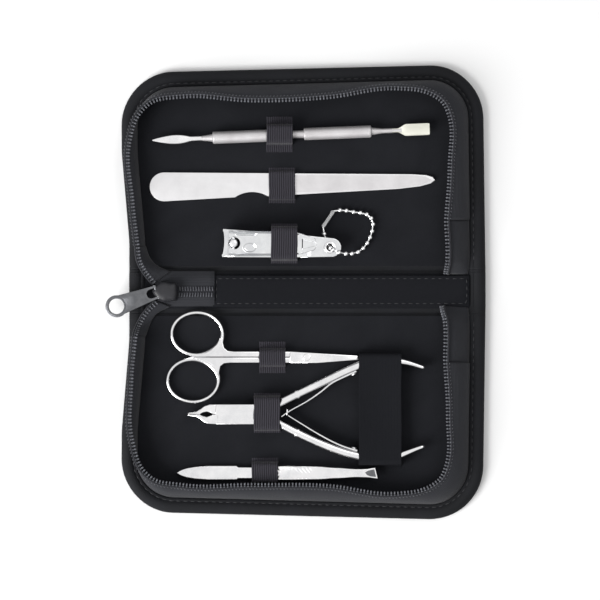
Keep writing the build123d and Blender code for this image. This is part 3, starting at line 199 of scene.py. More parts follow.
def bevelEdges(bm, edges, offset, segments=1, clamp=False):
    bmesh.ops.bevel(bm, geom=edges, offset=offset * mm, offset_type="OFFSET", segments=segments, profile=0.5,
                    affect="EDGES", material=-1, clamp_overlap=clamp)


def rod(bm, radius, long, place, sides=20):
    bmesh.ops.create_cone(bm, cap_ends=True, segments=sides, radius1=radius * mm, radius2=radius * mm,
                          depth=long * mm, matrix=place)


def angles(count):  # a full turn in equal steps
    return [2 * math.pi * k / count for k in range(count)]


def blendAcross(piece, side):  # bakes the piece's placement into its mesh, the same way for either side
    if side == upper:
        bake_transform(piece)
    else:
        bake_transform(piece)


# materials

def newGroup(name, inputs, outputs):
    group = bpy.data.node_groups.new(name, "ShaderNodeTree")
    for label, kind, default in inputs:
        socket = group.interface.new_socket(name=label, in_out="INPUT", socket_type=kind)
        socket.default_value = default
    for label, kind in outputs:
        group.interface.new_socket(name=label, in_out="OUTPUT", socket_type=kind)
    entry = group.nodes.new("NodeGroupInput")
    out = group.nodes.new("NodeGroupOutput")
    return group, entry, out


def addNode(tree, kind, **settings):  # in_ marks a socket, the rest are the node's own settings
    node = tree.nodes.new(kind)
    for key, value in settings.items():
        if key.startswith("in_"):
            node.inputs[key[3:].replace("_", " ")].default_value = value
        else:
            setattr(node, key, value)
    return node


def mathNode(tree, operation, a, b=None, c=None):
    node = tree.nodes.new("ShaderNodeMath")
    node.operation = operation
    for socket, value in zip(node.inputs, (a, b, c)):
        if value is None:
            continue
        if isinstance(value, (int, float)):
            socket.default_value = value
        else:
            tree.links.new(value, socket)
    return node.outputs[0]


def grainGroup():  # pebbled leather: cells with soft creases between them, and slow blotches
    group, entry, out = newGroup(
        "leatherGrain",
        [("Cells", "NodeSocketFloat", 900.0), ("Blotches", "NodeSocketFloat", 60.0)],
        [("Height", "NodeSocketFloat"), ("Shade", "NodeSocketFloat")],
    )
    tree = group
    coords = addNode(tree, "ShaderNodeTexCoord")
    cells = addNode(tree, "ShaderNodeTexVoronoi", feature="DISTANCE_TO_EDGE")
    tree.links.new(coords.outputs["Object"], cells.inputs["Vector"])
    tree.links.new(entry.outputs["Cells"], cells.inputs["Scale"])
    soft = mathNode(tree, "SMOOTH_MIN", cells.outputs["Distance"], 0.22, 0.2)
    fine = addNode(tree, "ShaderNodeTexNoise", in_Detail=6.0, in_Roughness=0.6)
    tree.links.new(coords.outputs["Object"], fine.inputs["Vector"])
    tree.links.new(mathNode(tree, "MULTIPLY", entry.outputs["Cells"], 2.3), fine.inputs["Scale"])
    height = mathNode(tree, "ADD", mathNode(tree, "MULTIPLY", soft, 3.0),
                      mathNode(tree, "MULTIPLY", fine.outputs["Fac"], 0.35))
    tree.links.new(height, out.inputs["Height"])
    slow = addNode(tree, "ShaderNodeTexNoise", in_Detail=3.0)
    tree.links.new(coords.outputs["Object"], slow.inputs["Vector"])
    tree.links.new(entry.outputs["Blotches"], slow.inputs["Scale"])
    tree.links.new(slow.outputs["Fac"], out.inputs["Shade"])
    return group


def flockGroup():  # short upright fibres: fine speckle, with slow brushed patches
    group, entry, out = newGroup(
        "flockPile",
        [("Fibres", "NodeSocketFloat", 2600.0), ("Patches", "NodeSocketFloat", 45.0)],
        [("Height", "NodeSocketFloat"), ("Shade", "NodeSocketFloat")],
    )
    coords = addNode(group, "ShaderNodeTexCoord")
    speck = addNode(group, "ShaderNodeTexNoise", in_Detail=4.0, in_Roughness=0.75)
    patch = addNode(group, "ShaderNodeTexNoise", in_Detail=5.0, in_Roughness=0.55, in_Distortion=0.6)
    for node, label in ((speck, "Fibres"), (patch, "Patches")):
        group.links.new(coords.outputs["Object"], node.inputs["Vector"])
        group.links.new(entry.outputs[label], node.inputs["Scale"])
    group.links.new(speck.outputs["Fac"], out.inputs["Height"])
    both = mathNode(group, "ADD", mathNode(group, "MULTIPLY", speck.outputs["Fac"], 0.45),
                    mathNode(group, "MULTIPLY", patch.outputs["Fac"], 0.55))
    group.links.new(both, out.inputs["Shade"])
    return group


def weaveGroup():  # ribs and cross threads on a strip's own UV map, in metres
    group, entry, out = newGroup(
        "stripWeave",
        [("Ribs", "NodeSocketFloat", 1000.0), ("Threads", "NodeSocketFloat", 2200.0),
         ("Thread share", "NodeSocketFloat", 0.4)],
        [("Height", "NodeSocketFloat"), ("Shade", "NodeSocketFloat")],
    )
    uvMap = addNode(group, "ShaderNodeUVMap", uv_map="UVMap")
    split = addNode(group, "ShaderNodeSeparateXYZ")
    group.links.new(uvMap.outputs["UV"], split.inputs["Vector"])
    ribPhase = mathNode(group, "MULTIPLY", split.outputs["Y"], entry.outputs["Ribs"])
    ribs = mathNode(group, "ABSOLUTE", mathNode(group, "SINE", mathNode(group, "MULTIPLY", ribPhase, math.pi)))
    step = mathNode(group, "MULTIPLY", mathNode(group, "FLOOR", ribPhase), 0.5)
    threadPhase = mathNode(group, "ADD", mathNode(group, "MULTIPLY", split.outputs["X"],
                                                  entry.outputs["Threads"]), step)
    threads = mathNode(group, "ABSOLUTE", mathNode(group, "SINE",
                                                   mathNode(group, "MULTIPLY", threadPhase, math.pi)))
    mixed = mathNode(group, "ADD", ribs, mathNode(group, "MULTIPLY", threads, entry.outputs["Thread share"]))
    fuzz = addNode(group, "ShaderNodeTexNoise", in_Scale=2400.0, in_Detail=3.0)
    coords = addNode(group, "ShaderNodeTexCoord")
    group.links.new(coords.outputs["Object"], fuzz.inputs["Vector"])
    height = mathNode(group, "ADD", mixed, mathNode(group, "MULTIPLY", fuzz.outputs["Fac"], 0.3))
    group.links.new(height, out.inputs["Height"])
    # Shade is the height scaled: painted shade, the colour darker in the grooves between ribs and threads and
    # lighter on their tops, over the bump
    shade = mathNode(group, "MULTIPLY", height, 0.55)
    group.links.new(shade, out.inputs["Shade"])
    return group


def finishGroup():  # ground and polished steel: brushed streaks and faint smears
    group, entry, out = newGroup(
        "steelFinish",
        [("Streak scale", "NodeSocketVector", (60.0, 1800.0, 1800.0)), ("Smears", "NodeSocketFloat", 90.0)],
        [("Streaks", "NodeSocketFloat"), ("Smear", "NodeSocketFloat")],
    )
    coords = addNode(group, "ShaderNodeTexCoord")
    stretch = addNode(group, "ShaderNodeVectorMath", operation="MULTIPLY")
    group.links.new(coords.outputs["Object"], stretch.inputs[0])
    group.links.new(entry.outputs["Streak scale"], stretch.inputs[1])
    streaks = addNode(group, "ShaderNodeTexNoise", in_Scale=1.0, in_Detail=2.0)
    group.links.new(stretch.outputs[0], streaks.inputs["Vector"])
    smear = addNode(group, "ShaderNodeTexNoise", in_Detail=4.0, in_Roughness=0.6)
    group.links.new(coords.outputs["Object"], smear.inputs["Vector"])
    group.links.new(entry.outputs["Smears"], smear.inputs["Scale"])
    group.links.new(streaks.outputs["Fac"], out.inputs["Streaks"])
    group.links.new(smear.outputs["Fac"], out.inputs["Smear"])
    return group


groups = {
    "leatherGrain": grainGroup(),
    "flockPile": flockGroup(),
    "stripWeave": weaveGroup(),
    "steelFinish": finishGroup(),
}


def newMaterial(name, color, roughness, metallic=0.0):
    material = bpy.data.materials.new(name)
    material.use_nodes = True
    shader = material.node_tree.nodes["Principled BSDF"]
    shader.inputs["Base Color"].default_value = color
    shader.inputs["Roughness"].default_value = roughness
    shader.inputs["Metallic"].default_value = metallic
    return material, material.node_tree, shader


def addBump(tree, shader, height, strength, distance):
    bump = addNode(tree, "ShaderNodeBump", in_Strength=strength, in_Distance=distance)
    tree.links.new(height, bump.inputs["Height"])
    tree.links.new(bump.outputs["Normal"], shader.inputs["Normal"])


def shadeColor(tree, shader, factor, dark, light, low=0.3, high=0.7):
    ramp = addNode(tree, "ShaderNodeValToRGB")
    ramp.color_ramp.elements[0].position = low
    ramp.color_ramp.elements[0].color = dark
    ramp.color_ramp.elements[1].position = high
    ramp.color_ramp.elements[1].color = light
    tree.links.new(factor, ramp.inputs["Fac"])
    tree.links.new(ramp.outputs["Color"], shader.inputs["Base Color"])


def rangeTo(tree, shader, factor, socket, low, high):
    node = addNode(tree, "ShaderNodeMapRange", in_To_Min=low, in_To_Max=high)
    tree.links.new(factor, node.inputs["Value"])
    tree.links.new(node.outputs["Result"], shader.inputs[socket])


def placeGroup(tree, name, **values):
    node = tree.nodes.new("ShaderNodeGroup")
    node.node_tree = groups[name]
    for label, value in values.items():
        node.inputs[label.replace("_", " ")].default_value = value
    return node


def patterned(name, base, rough, group, values, dark, light, shade="Shade", span=(0.3, 0.7), roughTo=None,
              bump=None, metallic=0.0, **sockets):  # one look: a group's pattern on color, roughness and bump
    material, tree, shader = newMaterial(name, hexColor(base), rough, metallic)
    pattern = placeGroup(tree, group, **values)
    shadeColor(tree, shader, pattern.outputs[shade], hexColor(dark), hexColor(light), *span)
    if roughTo:
        source, least, most = roughTo
        rangeTo(tree, shader, pattern.outputs[source], "Roughness", least, most)
    if bump:
        source, strength, distance = bump
        addBump(tree, shader, pattern.outputs[source], strength, distance)
    for label, value in sockets.items():
        shader.inputs[label.replace("_", " ")].default_value = value
    return material


def nylonTeeth(name, dark, light):
    return patterned(name, light, 0.35, "steelFinish", {"Smears": 700.0}, dark, light, "Smear",
                     roughTo=("Smear", 0.28, 0.45))


def thread(name, dark, light):
    material, tree, shader = newMaterial(name, hexColor(dark), 0.7)
    twist = addNode(tree, "ShaderNodeTexNoise", in_Scale=2600.0, in_Detail=2.0)
    coords = addNode(tree, "ShaderNodeTexCoord")
    tree.links.new(coords.outputs["Object"], twist.inputs["Vector"])
    shadeColor(tree, shader, twist.outputs["Fac"], hexColor(dark), hexColor(light))
    addBump(tree, shader, twist.outputs["Fac"], 0.5, 0.0001)
    return material


def metal(name, dark, light, roughLow, roughHigh, streak=(60.0, 1800.0, 1800.0), bump=0.06, metallic=1.0):
    finish = {"Streak_scale": streak, "Smears": 110.0}
    return patterned(name, light, roughLow, "steelFinish", finish, dark, light, "Smear",
                     roughTo=("Streaks", roughLow, roughHigh), bump=("Streaks", bump, 0.00005),
                     metallic=metallic)


looks = {
    "leather": patterned("coverLeather", "0d0e11", 0.55, "leatherGrain", {"Cells": 850.0, "Blotches": 70.0},
                         "0d0e11", "15161a", roughTo=("Shade", 0.7, 0.85), bump=("Height", 0.5, 0.00012),
                         Specular_IOR_Level=0.22),
    "flock": patterned("liningFlock", "121317", 0.95, "flockPile", {"Fibres": 2600.0}, "121317", "1a1b1f",
                       span=(0.35, 0.65), bump=("Height", 0.6, 0.0002), Sheen_Weight=0.12, Sheen_Roughness=0.45,
                       Specular_IOR_Level=0.15),
    # tape, elastic and strap take their colour from stripWeave's Shade: painted shade, darker in the weave's
    # grooves and lighter on the ribs
    "tape": patterned("zipTapeCloth", "17181c", 0.85, "stripWeave",
                      {"Ribs": 1450.0, "Threads": 1700.0, "Thread_share": 0.6}, "17181c", "27282d",
                      bump=("Height", 0.6, 0.00015), Sheen_Weight=0.08, Specular_IOR_Level=0.3),
    "elastic": patterned("elasticBand", "121115", 0.8, "stripWeave",
                         {"Ribs": 1000.0, "Threads": 2600.0, "Thread_share": 0.25}, "121115", "312f37",
                         span=(0.2, 0.75), bump=("Height", 0.8, 0.0002), Sheen_Weight=0.1,
                         Specular_IOR_Level=0.25),
    "teeth": nylonTeeth("nylonTeeth", "44454a", "66686e"),
    "tailTeeth": nylonTeeth("tailTeeth", "34353a", "4c4d53"),
    "seamThread": thread("seamThread", "141416", "2c2d31"),
    "stripThread": thread("stripThread", "101013", "202125"),
    "tapeThread": thread("tapeThread", "38393e", "66676d"),
    "strap": patterned("strapCloth", "101013", 0.85, "stripWeave",
                       {"Ribs": 2400.0, "Threads": 2400.0, "Thread_share": 0.8}, "0a0a0c", "191a1e",
                       bump=("Height", 0.5, 0.0001), Specular_IOR_Level=0.1),
    "polished": metal("polishedSteel", "dedee0", "f4f3f3", 0.12, 0.22),
    "chrome": metal("chromePlate", "d4d5d8", "eceded", 0.06, 0.12, bump=0.03),
    "knurled": metal("knurledSteel", "b7b4b5", "c7c5c6", 0.42, 0.55, (40.0, 900.0, 900.0), 0.15, 0.55),
    "spade": metal("spadeSteel", "cfcfc4", "deddd2", 0.3, 0.4),
    "fileSteel": metal("fileSteel", "d0cfd0", "dad9da", 0.38, 0.46),
    "ground": metal("groundSteel", "dadadc", "f4f4f4", 0.26, 0.4, (40.0, 900.0, 900.0), 0.15),
    "fileCut": metal("fileCutSteel", "bfbdbe", "cdcbcc", 0.4, 0.56, (70.0, 2600.0, 2600.0), 0.35),
    "chain": metal("chainSteel", "dededf", "f6f6f6", 0.2, 0.3),
    "slider": patterned("sliderLacquer", "1e1e22", 0.5, "steelFinish", {"Smears": 300.0}, "19191d", "242428",
                        "Smear", roughTo=("Smear", 0.42, 0.55), Specular_IOR_Level=0.35),
    "pull": metal("pullLacquer", "4e4f52", "77787b", 0.3, 0.42),
    "board": patterned("boardPaper", "6d675c", 0.9, "flockPile", {"Fibres": 1500.0}, "5a554b", "7d776b"),
}
print("materials made")


# camera, floor and light

view = {"focus": (-2.0, -4.05, 6.0), "frame": 270.0, "lens": 200.0, "sensor": 36.0}


def placeCamera():
    data = bpy.data.cameras.new("viewCamera")
    data.lens = view["lens"]
    data.sensor_width = view["sensor"]
    camera = bpy.data.objects.new("viewCamera", data)
    x, y, z = view["focus"]
    away = view["frame"] * view["lens"] / view["sensor"]
    camera.location = (x * mm, y * mm, (z + away) * mm)
    bpy.context.scene.collection.objects.link(camera)
    bpy.context.scene.camera = camera


def rayMask(tree):  # 1 for what the camera sees, straight or through gloss and glass
    path = addNode(tree, "ShaderNodeLightPath")
    seen = mathNode(tree, "MAXIMUM", path.outputs["Is Camera Ray"], path.outputs["Is Glossy Ray"])
    return mathNode(tree, "MAXIMUM", seen, path.outputs["Is Transmission Ray"])


ground = {"size": 4.0, "color": "e6e6e6", "lift": 0.045}


def layFloor():
    bm = bmesh.new()
    bmesh.ops.create_grid(bm, x_segments=1, y_segments=1, size=ground["size"])
    material, tree, shader = newMaterial("paleFloor", hexColor(ground["color"]), 0.9)
    glow = addNode(tree, "ShaderNodeEmission")
    glow.inputs["Color"].default_value = (1, 1, 1, 1)
    tree.links.new(mathNode(tree, "MULTIPLY", rayMask(tree), ground["lift"]), glow.inputs["Strength"])
    both = addNode(tree, "ShaderNodeAddShader")
    tree.links.new(shader.outputs["BSDF"], both.inputs[0])
    tree.links.new(glow.outputs["Emission"], both.inputs[1])
    tree.links.new(both.outputs["Shader"], tree.nodes["Material Output"].inputs["Surface"])
    finishMesh("floor", bm, material, None, smooth=False)


lamps = {
    "key": {"at": (-1.2, -0.78, 0.88), "size": 1.05, "power": 43.0},
    "fill": {"at": (0.5, 0.45, 1.0), "size": 0.8, "power": 2.4},
    "sky": 0.6, "gloss": 1.0,
}


def hangLamp(name, at, size, power):
    data = bpy.data.lights.new(name, "AREA")
    data.size = size
    data.energy = power
    lamp = bpy.data.objects.new(name, data)
    lamp.location = at
    lamp.rotation_euler = (-Vector(at)).to_track_quat("-Z", "Y").to_euler()
    bpy.context.scene.collection.objects.link(lamp)


def lightScene():
    for name in ("key", "fill"):
        hangLamp(name + "Lamp", **lamps[name])
    world = bpy.data.worlds.new("paleRoom")
    bpy.context.scene.world = world
    world.use_nodes = True
    tree = world.node_tree
    back = tree.nodes["Background"]
    coords = addNode(tree, "ShaderNodeTexCoord")
    split = addNode(tree, "ShaderNodeSeparateXYZ")
    tree.links.new(coords.outputs["Generated"], split.inputs["Vector"])
    ramp = addNode(tree, "ShaderNodeValToRGB")
    ramp.color_ramp.elements[0].position = 0.0
    ramp.color_ramp.elements[0].color = (0.16, 0.16, 0.17, 1)
    ramp.color_ramp.elements[1].position = 0.75
    ramp.color_ramp.elements[1].color = (1, 1, 1, 1)
    tree.links.new(split.outputs["Z"], ramp.inputs["Fac"])
    tree.links.new(ramp.outputs["Color"], back.inputs["Color"])
    light = addNode(tree, "ShaderNodeLightPath")
    strength = addNode(tree, "ShaderNodeMapRange", in_To_Min=lamps["sky"], in_To_Max=lamps["gloss"])
    tree.links.new(light.outputs["Is Glossy Ray"], strength.inputs["Value"])
    tree.links.new(strength.outputs["Result"], back.inputs["Strength"])
    clean = addNode(tree, "ShaderNodeBackground")
    clean.inputs["Color"].default_value = (1, 1, 1, 1)
    mix = addNode(tree, "ShaderNodeMixShader")
    tree.links.new(light.outputs["Is Camera Ray"], mix.inputs["Fac"])
    tree.links.new(back.outputs["Background"], mix.inputs[1])
    tree.links.new(clean.outputs["Background"], mix.inputs[2])
    tree.links.new(mix.outputs["Shader"], tree.nodes["World Output"].inputs["Surface"])


placeCamera()
layFloor()
lightScene()
bpy.context.scene.view_settings.view_transform = "Standard"
print("camera, floor and light placed")

# CAD nodes that keep their shape: the hidden boards

for name in ("lower_board", "upper_board", "spine_board"):
    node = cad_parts[name]
    node.data.materials.clear()
    node.data.materials.append(looks["board"])
print("frame nodes dressed")

# case: padded covers, spine and folds

caseShape = {
    "waist": (-79.0, 22.0), "flare": (-82.5, 62.0), "leftTop": 97.4, "rightTop": (80.4, 101.4),
    "rightFold": 81.7, "rounds": (60.0, 60.0, 24.0, 24.0), "panelY": 11.2, "spineY": 8.0, "step": 2.2,
    "wall": [(0.0, 2.1), (0.35, 3.0), (1.1, 3.75), (2.2, 4.2), (3.5, 4.3), (4.6, 4.0), (5.3, 3.55), (5.9, 3.75),
             (6.6, 3.4), (7.2, 2.95), (8.0, 2.5)],
    "under": [(0.5, 0.4), (1.5, 0.0)], "widest": 1.2, "reach": {upper: 1.011, lower: 1.024},
}


def panelPoints(inset):
    shape = caseShape
    return [
        (shape["waist"][0] + inset, shape["panelY"]),
        (shape["waist"][0] + inset, shape["waist"][1]),
        (shape["flare"][0] + inset, shape["flare"][1]),
        (shape["flare"][0] + inset, shape["leftTop"] - inset),
        (shape["rightTop"][0] - inset, shape["rightTop"][1] - inset),
        (shape["rightFold"] - inset, shape["panelY"]),
    ]


def panelPath(inset):
    rounds = [r - inset if r < 30 else r for r in caseShape["rounds"]]
    return roundedPath(panelPoints(inset), rounds, caseShape["step"])


def panelFace(bm, inset, z):  # outline of a half, mirrored about its fold edge so that insets run straight there
    path = panelPath(inset)
    fold = caseShape["panelY"]
    around = [Vector((p.x, p.y, z)) for p in path] + [Vector((p.x, 2 * fold - p.y, z)) for p in path[-2:0:-1]]
    return bm.faces.new([bm.verts.new(p * mm) for p in around])


def stepIn(bm, face, steps, start):  # insets one face again and again, raising it as it goes
    inset, z = start
    for nextInset, nextZ in steps:
        depth = abs(nextZ - z) * (1 if nextZ > z else -1)
        outwardDepth = depth if face.normal.z > 0 else -depth
        bmesh.ops.inset_region(bm, faces=[face], thickness=max(nextInset - inset, 0.001) * mm,
                               depth=outwardDepth * mm, use_even_offset=True)
        inset, z = nextInset, nextZ
    return face


def trimAtFold(bm, fill=True):
    geom = bm.verts[:] + bm.edges[:] + bm.faces[:]
    bmesh.ops.bisect_plane(bm, geom=geom, plane_co=(0, caseShape["panelY"] * mm, 0), plane_no=(0, 1, 0),
                           clear_inner=True, dist=1e-8)
    if fill:
        rim = [e for e in bm.edges if e.is_boundary]
        bmesh.ops.holes_fill(bm, edges=rim, sides=0)


def ripple(bm, amount, scale, seed, low=None):  # uneven stuffing and slight creases
    for vert in bm.verts:
        if low is not None and vert.co.z < low * mm:
            continue
        place = vert.co / (scale * mm) + Vector((seed, 0, 0))
        vert.co += Vector((noise.noise(place), noise.noise(place + Vector((9, 0, 0))),
                           noise.noise(place + Vector((0, 9, 0))))) * amount * mm


def facing(face, toward):
    face.normal_update()
    if face.normal.z * toward < 0:
        face.normal_flip()


def raisedCopy(bm, base, rise):  # a second face over the first, both turned outward
    facing(base, -1)
    made = bmesh.ops.extrude_face_region(bm, geom=[base], use_keep_orig=True)["geom"]
    top = next(g for g in made if isinstance(g, bmesh.types.BMFace))
    bmesh.ops.translate(bm, vec=(0, 0, rise * mm), verts=top.verts)
    facing(top, 1)
    return top


def makeCover(side):
    shape = caseShape
    bm = bmesh.new()
    base = panelFace(bm, 0.0, shape["widest"])
    top = raisedCopy(bm, base, shape["wall"][0][1] - shape["widest"])
    stepIn(bm, top, shape["wall"][1:], shape["wall"][0])
    stepIn(bm, base, shape["under"], (0.0, shape["widest"]))
    trimAtFold(bm)
    ripple(bm, 0.12, 14.0, 3 + side, low=2.0)
    mirrorSide(bm, side, reach=True)
    finishMesh(sideName[side] + "PaddedCover", bm, looks["leather"], sideName[side] + "_half",
               replaces=[sideName[side] + "_cover"], sharp=50)


def stitchRun(bm, path, z, length, gap, width, lift=0.0):  # thread dashes laid end to end along a path
    run = lengths(path)
    count = int(run[-1] / (length + gap))
    for i in range(count):
        a = pointAt(path, run, (i * (length + gap)) / run[-1])
        b = pointAt(path, run, (i * (length + gap) + length) / run[-1])
        heading = math.atan2(b.y - a.y, b.x - a.x)
        middle = (a + b) / 2
        turn = Matrix.Rotation(heading, 4, "Z")
        size = Matrix.Diagonal((length * mm / 2, width * mm / 2, width * mm / 2, 1))
        place = Matrix.Translation(Vector((middle.x, middle.y, z + lift)) * mm)
        bmesh.ops.create_uvsphere(bm, u_segments=6, v_segments=4, radius=1, matrix=place @ turn @ size)


seam = {"inset": 5.3, "z": 3.55, "stitch": 2.3, "gap": 0.9, "width": 0.55}


def sewRim(side):
    bm = bmesh.new()
    stitchRun(bm, panelPath(seam["inset"]), seam["z"] + 0.05, seam["stitch"], seam["gap"], seam["width"])
    mirrorSide(bm, side, reach=True)
    finishMesh(sideName[side] + "RimStitches", bm, looks["seamThread"], sideName[side] + "_half")


def spineSection(y, drop=0.0, floorZ=0.0, middle=None):  # across the case: rim, sunken middle, rim
    x0, x1 = caseShape["waist"][0], caseShape["rightFold"]
    wall = [(i, z - drop) for i, z in caseShape["wall"]]
    low = [(1.5, floorZ), (0.5, floorZ + 0.4), (0.0, caseShape["widest"])]
    left = [Vector((x0 + i, y, z)) for i, z in low + wall]
    right = [Vector((x1 - i, y, z)) for i, z in reversed(low + wall)]
    between = []
    if middle is not None:
        count = 12
        between = [Vector((x0 + 8 + (x1 - x0 - 16) * k / count, y, middle)) for k in range(1, count)]
    return left + between + right


def makeSpine():
    reach = caseShape["spineY"]
    rows = [spineSection(-reach + 2 * reach * k / 8) for k in range(9)]
    bm = loft(rows, closed=True, caps=True)
    ripple(bm, 0.1, 12.0, 8, low=2.0)
    finishMesh("spineLeather", bm, looks["leather"], "spine", replaces=["spine_cover"], sharp=50)


foldShape = {"rows": 10, "dip": 0.9, "pleat": 0.16, "middle": 2.75}


def makeFold(side):  # soft hinge between the spine and a half, pleated where it bends
    near, far = caseShape["spineY"] - 0.15, caseShape["panelY"] + 0.15
    rows = []
    for k in range(foldShape["rows"] + 1):
        share = k / foldShape["rows"]
        dip = foldShape["dip"] * math.sin(math.pi * share) ** 2
        pleat = foldShape["pleat"] * math.sin(6 * math.pi * share)
        rows.append(spineSection(near + (far - near) * share, drop=0.25 * dip - pleat,
                                 floorZ=0.12, middle=foldShape["middle"] - dip))
    bm = loft(rows, closed=True, caps=True)
    mirrorSide(bm, side)
    name = sideName[side]
    fold = finishMesh(name + "FoldCloth", bm, looks["leather"], None, replaces=[name + "_fold_cloth"], sharp=60)
    blendAcross(fold, side)


liningShape = {"inset": 6.6, "low": 2.6, "top": 3.2, "edge": [(6.6, 2.95), (6.9, 3.12), (7.6, 3.2)],
               "cell": 5.0, "cuts": (((1, 0, 0), 80.0), ((0, 1, 0), 105.0)), "wave": 0.16, "scale": 22.0,
               "spineSoft": 0.2}


def makeLining(side):
    shape = liningShape
    bm = bmesh.new()
    face = panelFace(bm, shape["inset"], shape["low"])
    top = raisedCopy(bm, face, shape["edge"][0][1] - shape["low"])
    stepIn(bm, top, shape["edge"][1:], shape["edge"][0])
    trimAtFold(bm)
    for axis, reach in shape["cuts"]:
        at = -reach if axis[0] else caseShape["panelY"] + shape["cell"]
        while at < reach:
            geom = bm.verts[:] + bm.edges[:] + bm.faces[:]
            bmesh.ops.bisect_plane(bm, geom=geom, plane_co=Vector(axis) * at * mm, plane_no=axis, dist=1e-8)
            at += shape["cell"]
    for vert in bm.verts:
        if vert.co.z > (shape["top"] - 0.1) * mm:
            place = vert.co / (shape["scale"] * mm) + Vector((side * 5, 0, 0))
            vert.co.z += noise.noise(place) * shape["wave"] * mm
    mirrorSide(bm, side, reach=True)
    finishMesh(sideName[side] + "Flocking", bm, looks["flock"], sideName[side] + "_half",
               replaces=[sideName[side] + "_lining"], sharp=50)


def makeSpineLining():  # glued to the spine between its rims
    (x0, y0, z0), (x1, y1, z1) = [[c / mm for c in corner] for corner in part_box("spine_lining")]
    soft = liningShape["spineSoft"]
    count = 40
    rows = []
    for k in range(count + 1):
        x = x0 + (x1 - x0) * k / count
        fall = soft * max(0, 1 - min(x - x0, x1 - x) / 1.0) ** 2
        row = [Vector((x, y1, z0)), Vector((x, y0, z0))]
        for j in range(13):
            y = y0 + (y1 - y0) * j / 12
            edge = soft * max(0, 1 - min(y - y0, y1 - y) / 0.8) ** 2
            row.append(Vector((x, y, z1 - fall - edge - 0.06 * (1 + noise.noise(Vector((x / 12, y / 9, 7)))))))
        rows.append(row)
    finishMesh("spineFlocking", loft(rows, closed=True, caps=True), looks["flock"], "spine",
               replaces=["spine_lining"], sharp=50)


for side in (lower, upper):
    makeCover(side)
    sewRim(side)
    makeFold(side)
    makeLining(side)
makeSpine()
makeSpineLining()
print("case made")

# zip: tapes, teeth and the runs down to the spine

zipShape = {
    "seamInset": 7.0, "footZ": 3.0, "chainZ": 11.6, "rows": 230, "across": 9, "thick": 0.55,
    "stations": (0.03, 0.10, 0.19, 0.25, 0.31, 0.42, 0.53, 0.64, 0.70, 0.75, 0.85, 0.93),
    "lean": {upper: (-3.2, -4.0, -3.3, 1.3, 3.4, 5.9, 5.4, 2.3, 6.0, 8.0, 8.4, 10.4),
             lower: (-4.2, -4.4, -2.0, 2.0, 3.6, 4.4, 4.9, 2.3, 7.0, 9.3, 9.2, 10.8)},
}
toothShape = {"pitch": 1.53, "along": 0.72, "high": 1.3, "edge": 0.18, "cord": 0.45,
              "head": (0.85, 1.1, 0.0), "root": (-0.25, 0.9, -0.12)}


def smoothRun(points, resolution=16):  # an automatic Bezier through the points, read back as a line
    curve = bpy.data.curves.new("run", "CURVE")
    curve.dimensions = "3D"
    curve.resolution_u = resolution
    spline = curve.splines.new("BEZIER")
    spline.bezier_points.add(len(points) - 1)
    for knot, place in zip(spline.bezier_points, points):
        knot.co = place
        knot.handle_left_type = knot.handle_right_type = "AUTO"
    holder = bpy.data.objects.new("run", curve)
    mesh = bpy.data.meshes.new_from_object(holder)
    path = [v.co.copy() for v in mesh.vertices]
    bpy.data.objects.remove(holder)
    bpy.data.curves.remove(curve)
    bpy.data.meshes.remove(mesh)
    return path


def sideways(heading):  # level, to the inside of the case
    return Vector((heading.y, -heading.x, 0)).normalized()


def seamAndChain(side):
    seamPath = [Vector((p.x, p.y, 0)) for p in panelPath(zipShape["seamInset"])]
    run = lengths(seamPath)
    stations = zipShape["stations"]
    knots = []
    for t, lean in zip(stations, zipShape["lean"][side]):
        at = pointAt(seamPath, run, t)
        heading = (pointAt(seamPath, run, t + 0.002) - pointAt(seamPath, run, t - 0.002)).normalized()
        knots.append(at + sideways(heading) * lean + up * zipShape["chainZ"])
    chain = resample(smoothRun(knots), zipShape["rows"] + 1)
    foot = []
    for k in range(zipShape["rows"] + 1):
        t = stations[0] + (stations[-1] - stations[0]) * k / zipShape["rows"]
        at = pointAt(seamPath, run, t)
        foot.append(Vector((at.x, reachOut(at.y, side), zipShape["footZ"])))
    return foot, chain


def tapeRows(foot, chain, wave=0.22, curl=1.6):
    rows = []
    for low, high in zip(foot, chain):
        row = []
        for j in range(zipShape["across"]):
            share = j / (zipShape["across"] - 1)
            flat = share ** curl
            place = Vector((low.x + (high.x - low.x) * flat, low.y + (high.y - low.y) * flat,
                            low.z + (high.z - low.z) * math.sin(share * math.pi / 2)))
            wobble = noise.noise(place / 11.0) * wave * math.sin(share * math.pi)
            row.append(place + Vector((wobble, wobble, wobble)))
        rows.append(row)
    return rows


def addTeeth(bm, path):
    shape = toothShape
    run = lengths(path)
    count = int(run[-1] / shape["pitch"])
    for i in range(count):
        share = (i + 0.5) / count
        at = pointAt(path, run, share)
        heading = (pointAt(path, run, share + 0.002) - pointAt(path, run, share - 0.002)).normalized()
        inside = sideways(heading)
        rise = inside.cross(heading) if inside.cross(heading).z > 0 else heading.cross(inside)
        frameMatrix = Matrix((heading, inside, rise)).transposed().to_4x4()
        for shift, across, rest in (shape["head"], shape["root"]):
            block(bm, at + inside * shift + rise * rest, (shape["along"], across, shape["high"]), frameMatrix)
    bevelEdges(bm, bm.edges[:], shape["edge"])


def cordRows(path, radius, shift, drop=0.0, sides=8):
    rows = []
    for at, heading in zip(path, headings(path)):
        inside = sideways(heading)
        rise = heading.cross(inside)
        centre = at + inside * shift + up * drop
        rows.append([centre + inside * radius * math.cos(a) + rise * radius * math.sin(a)
                     for a in angles(sides)])
    return rows


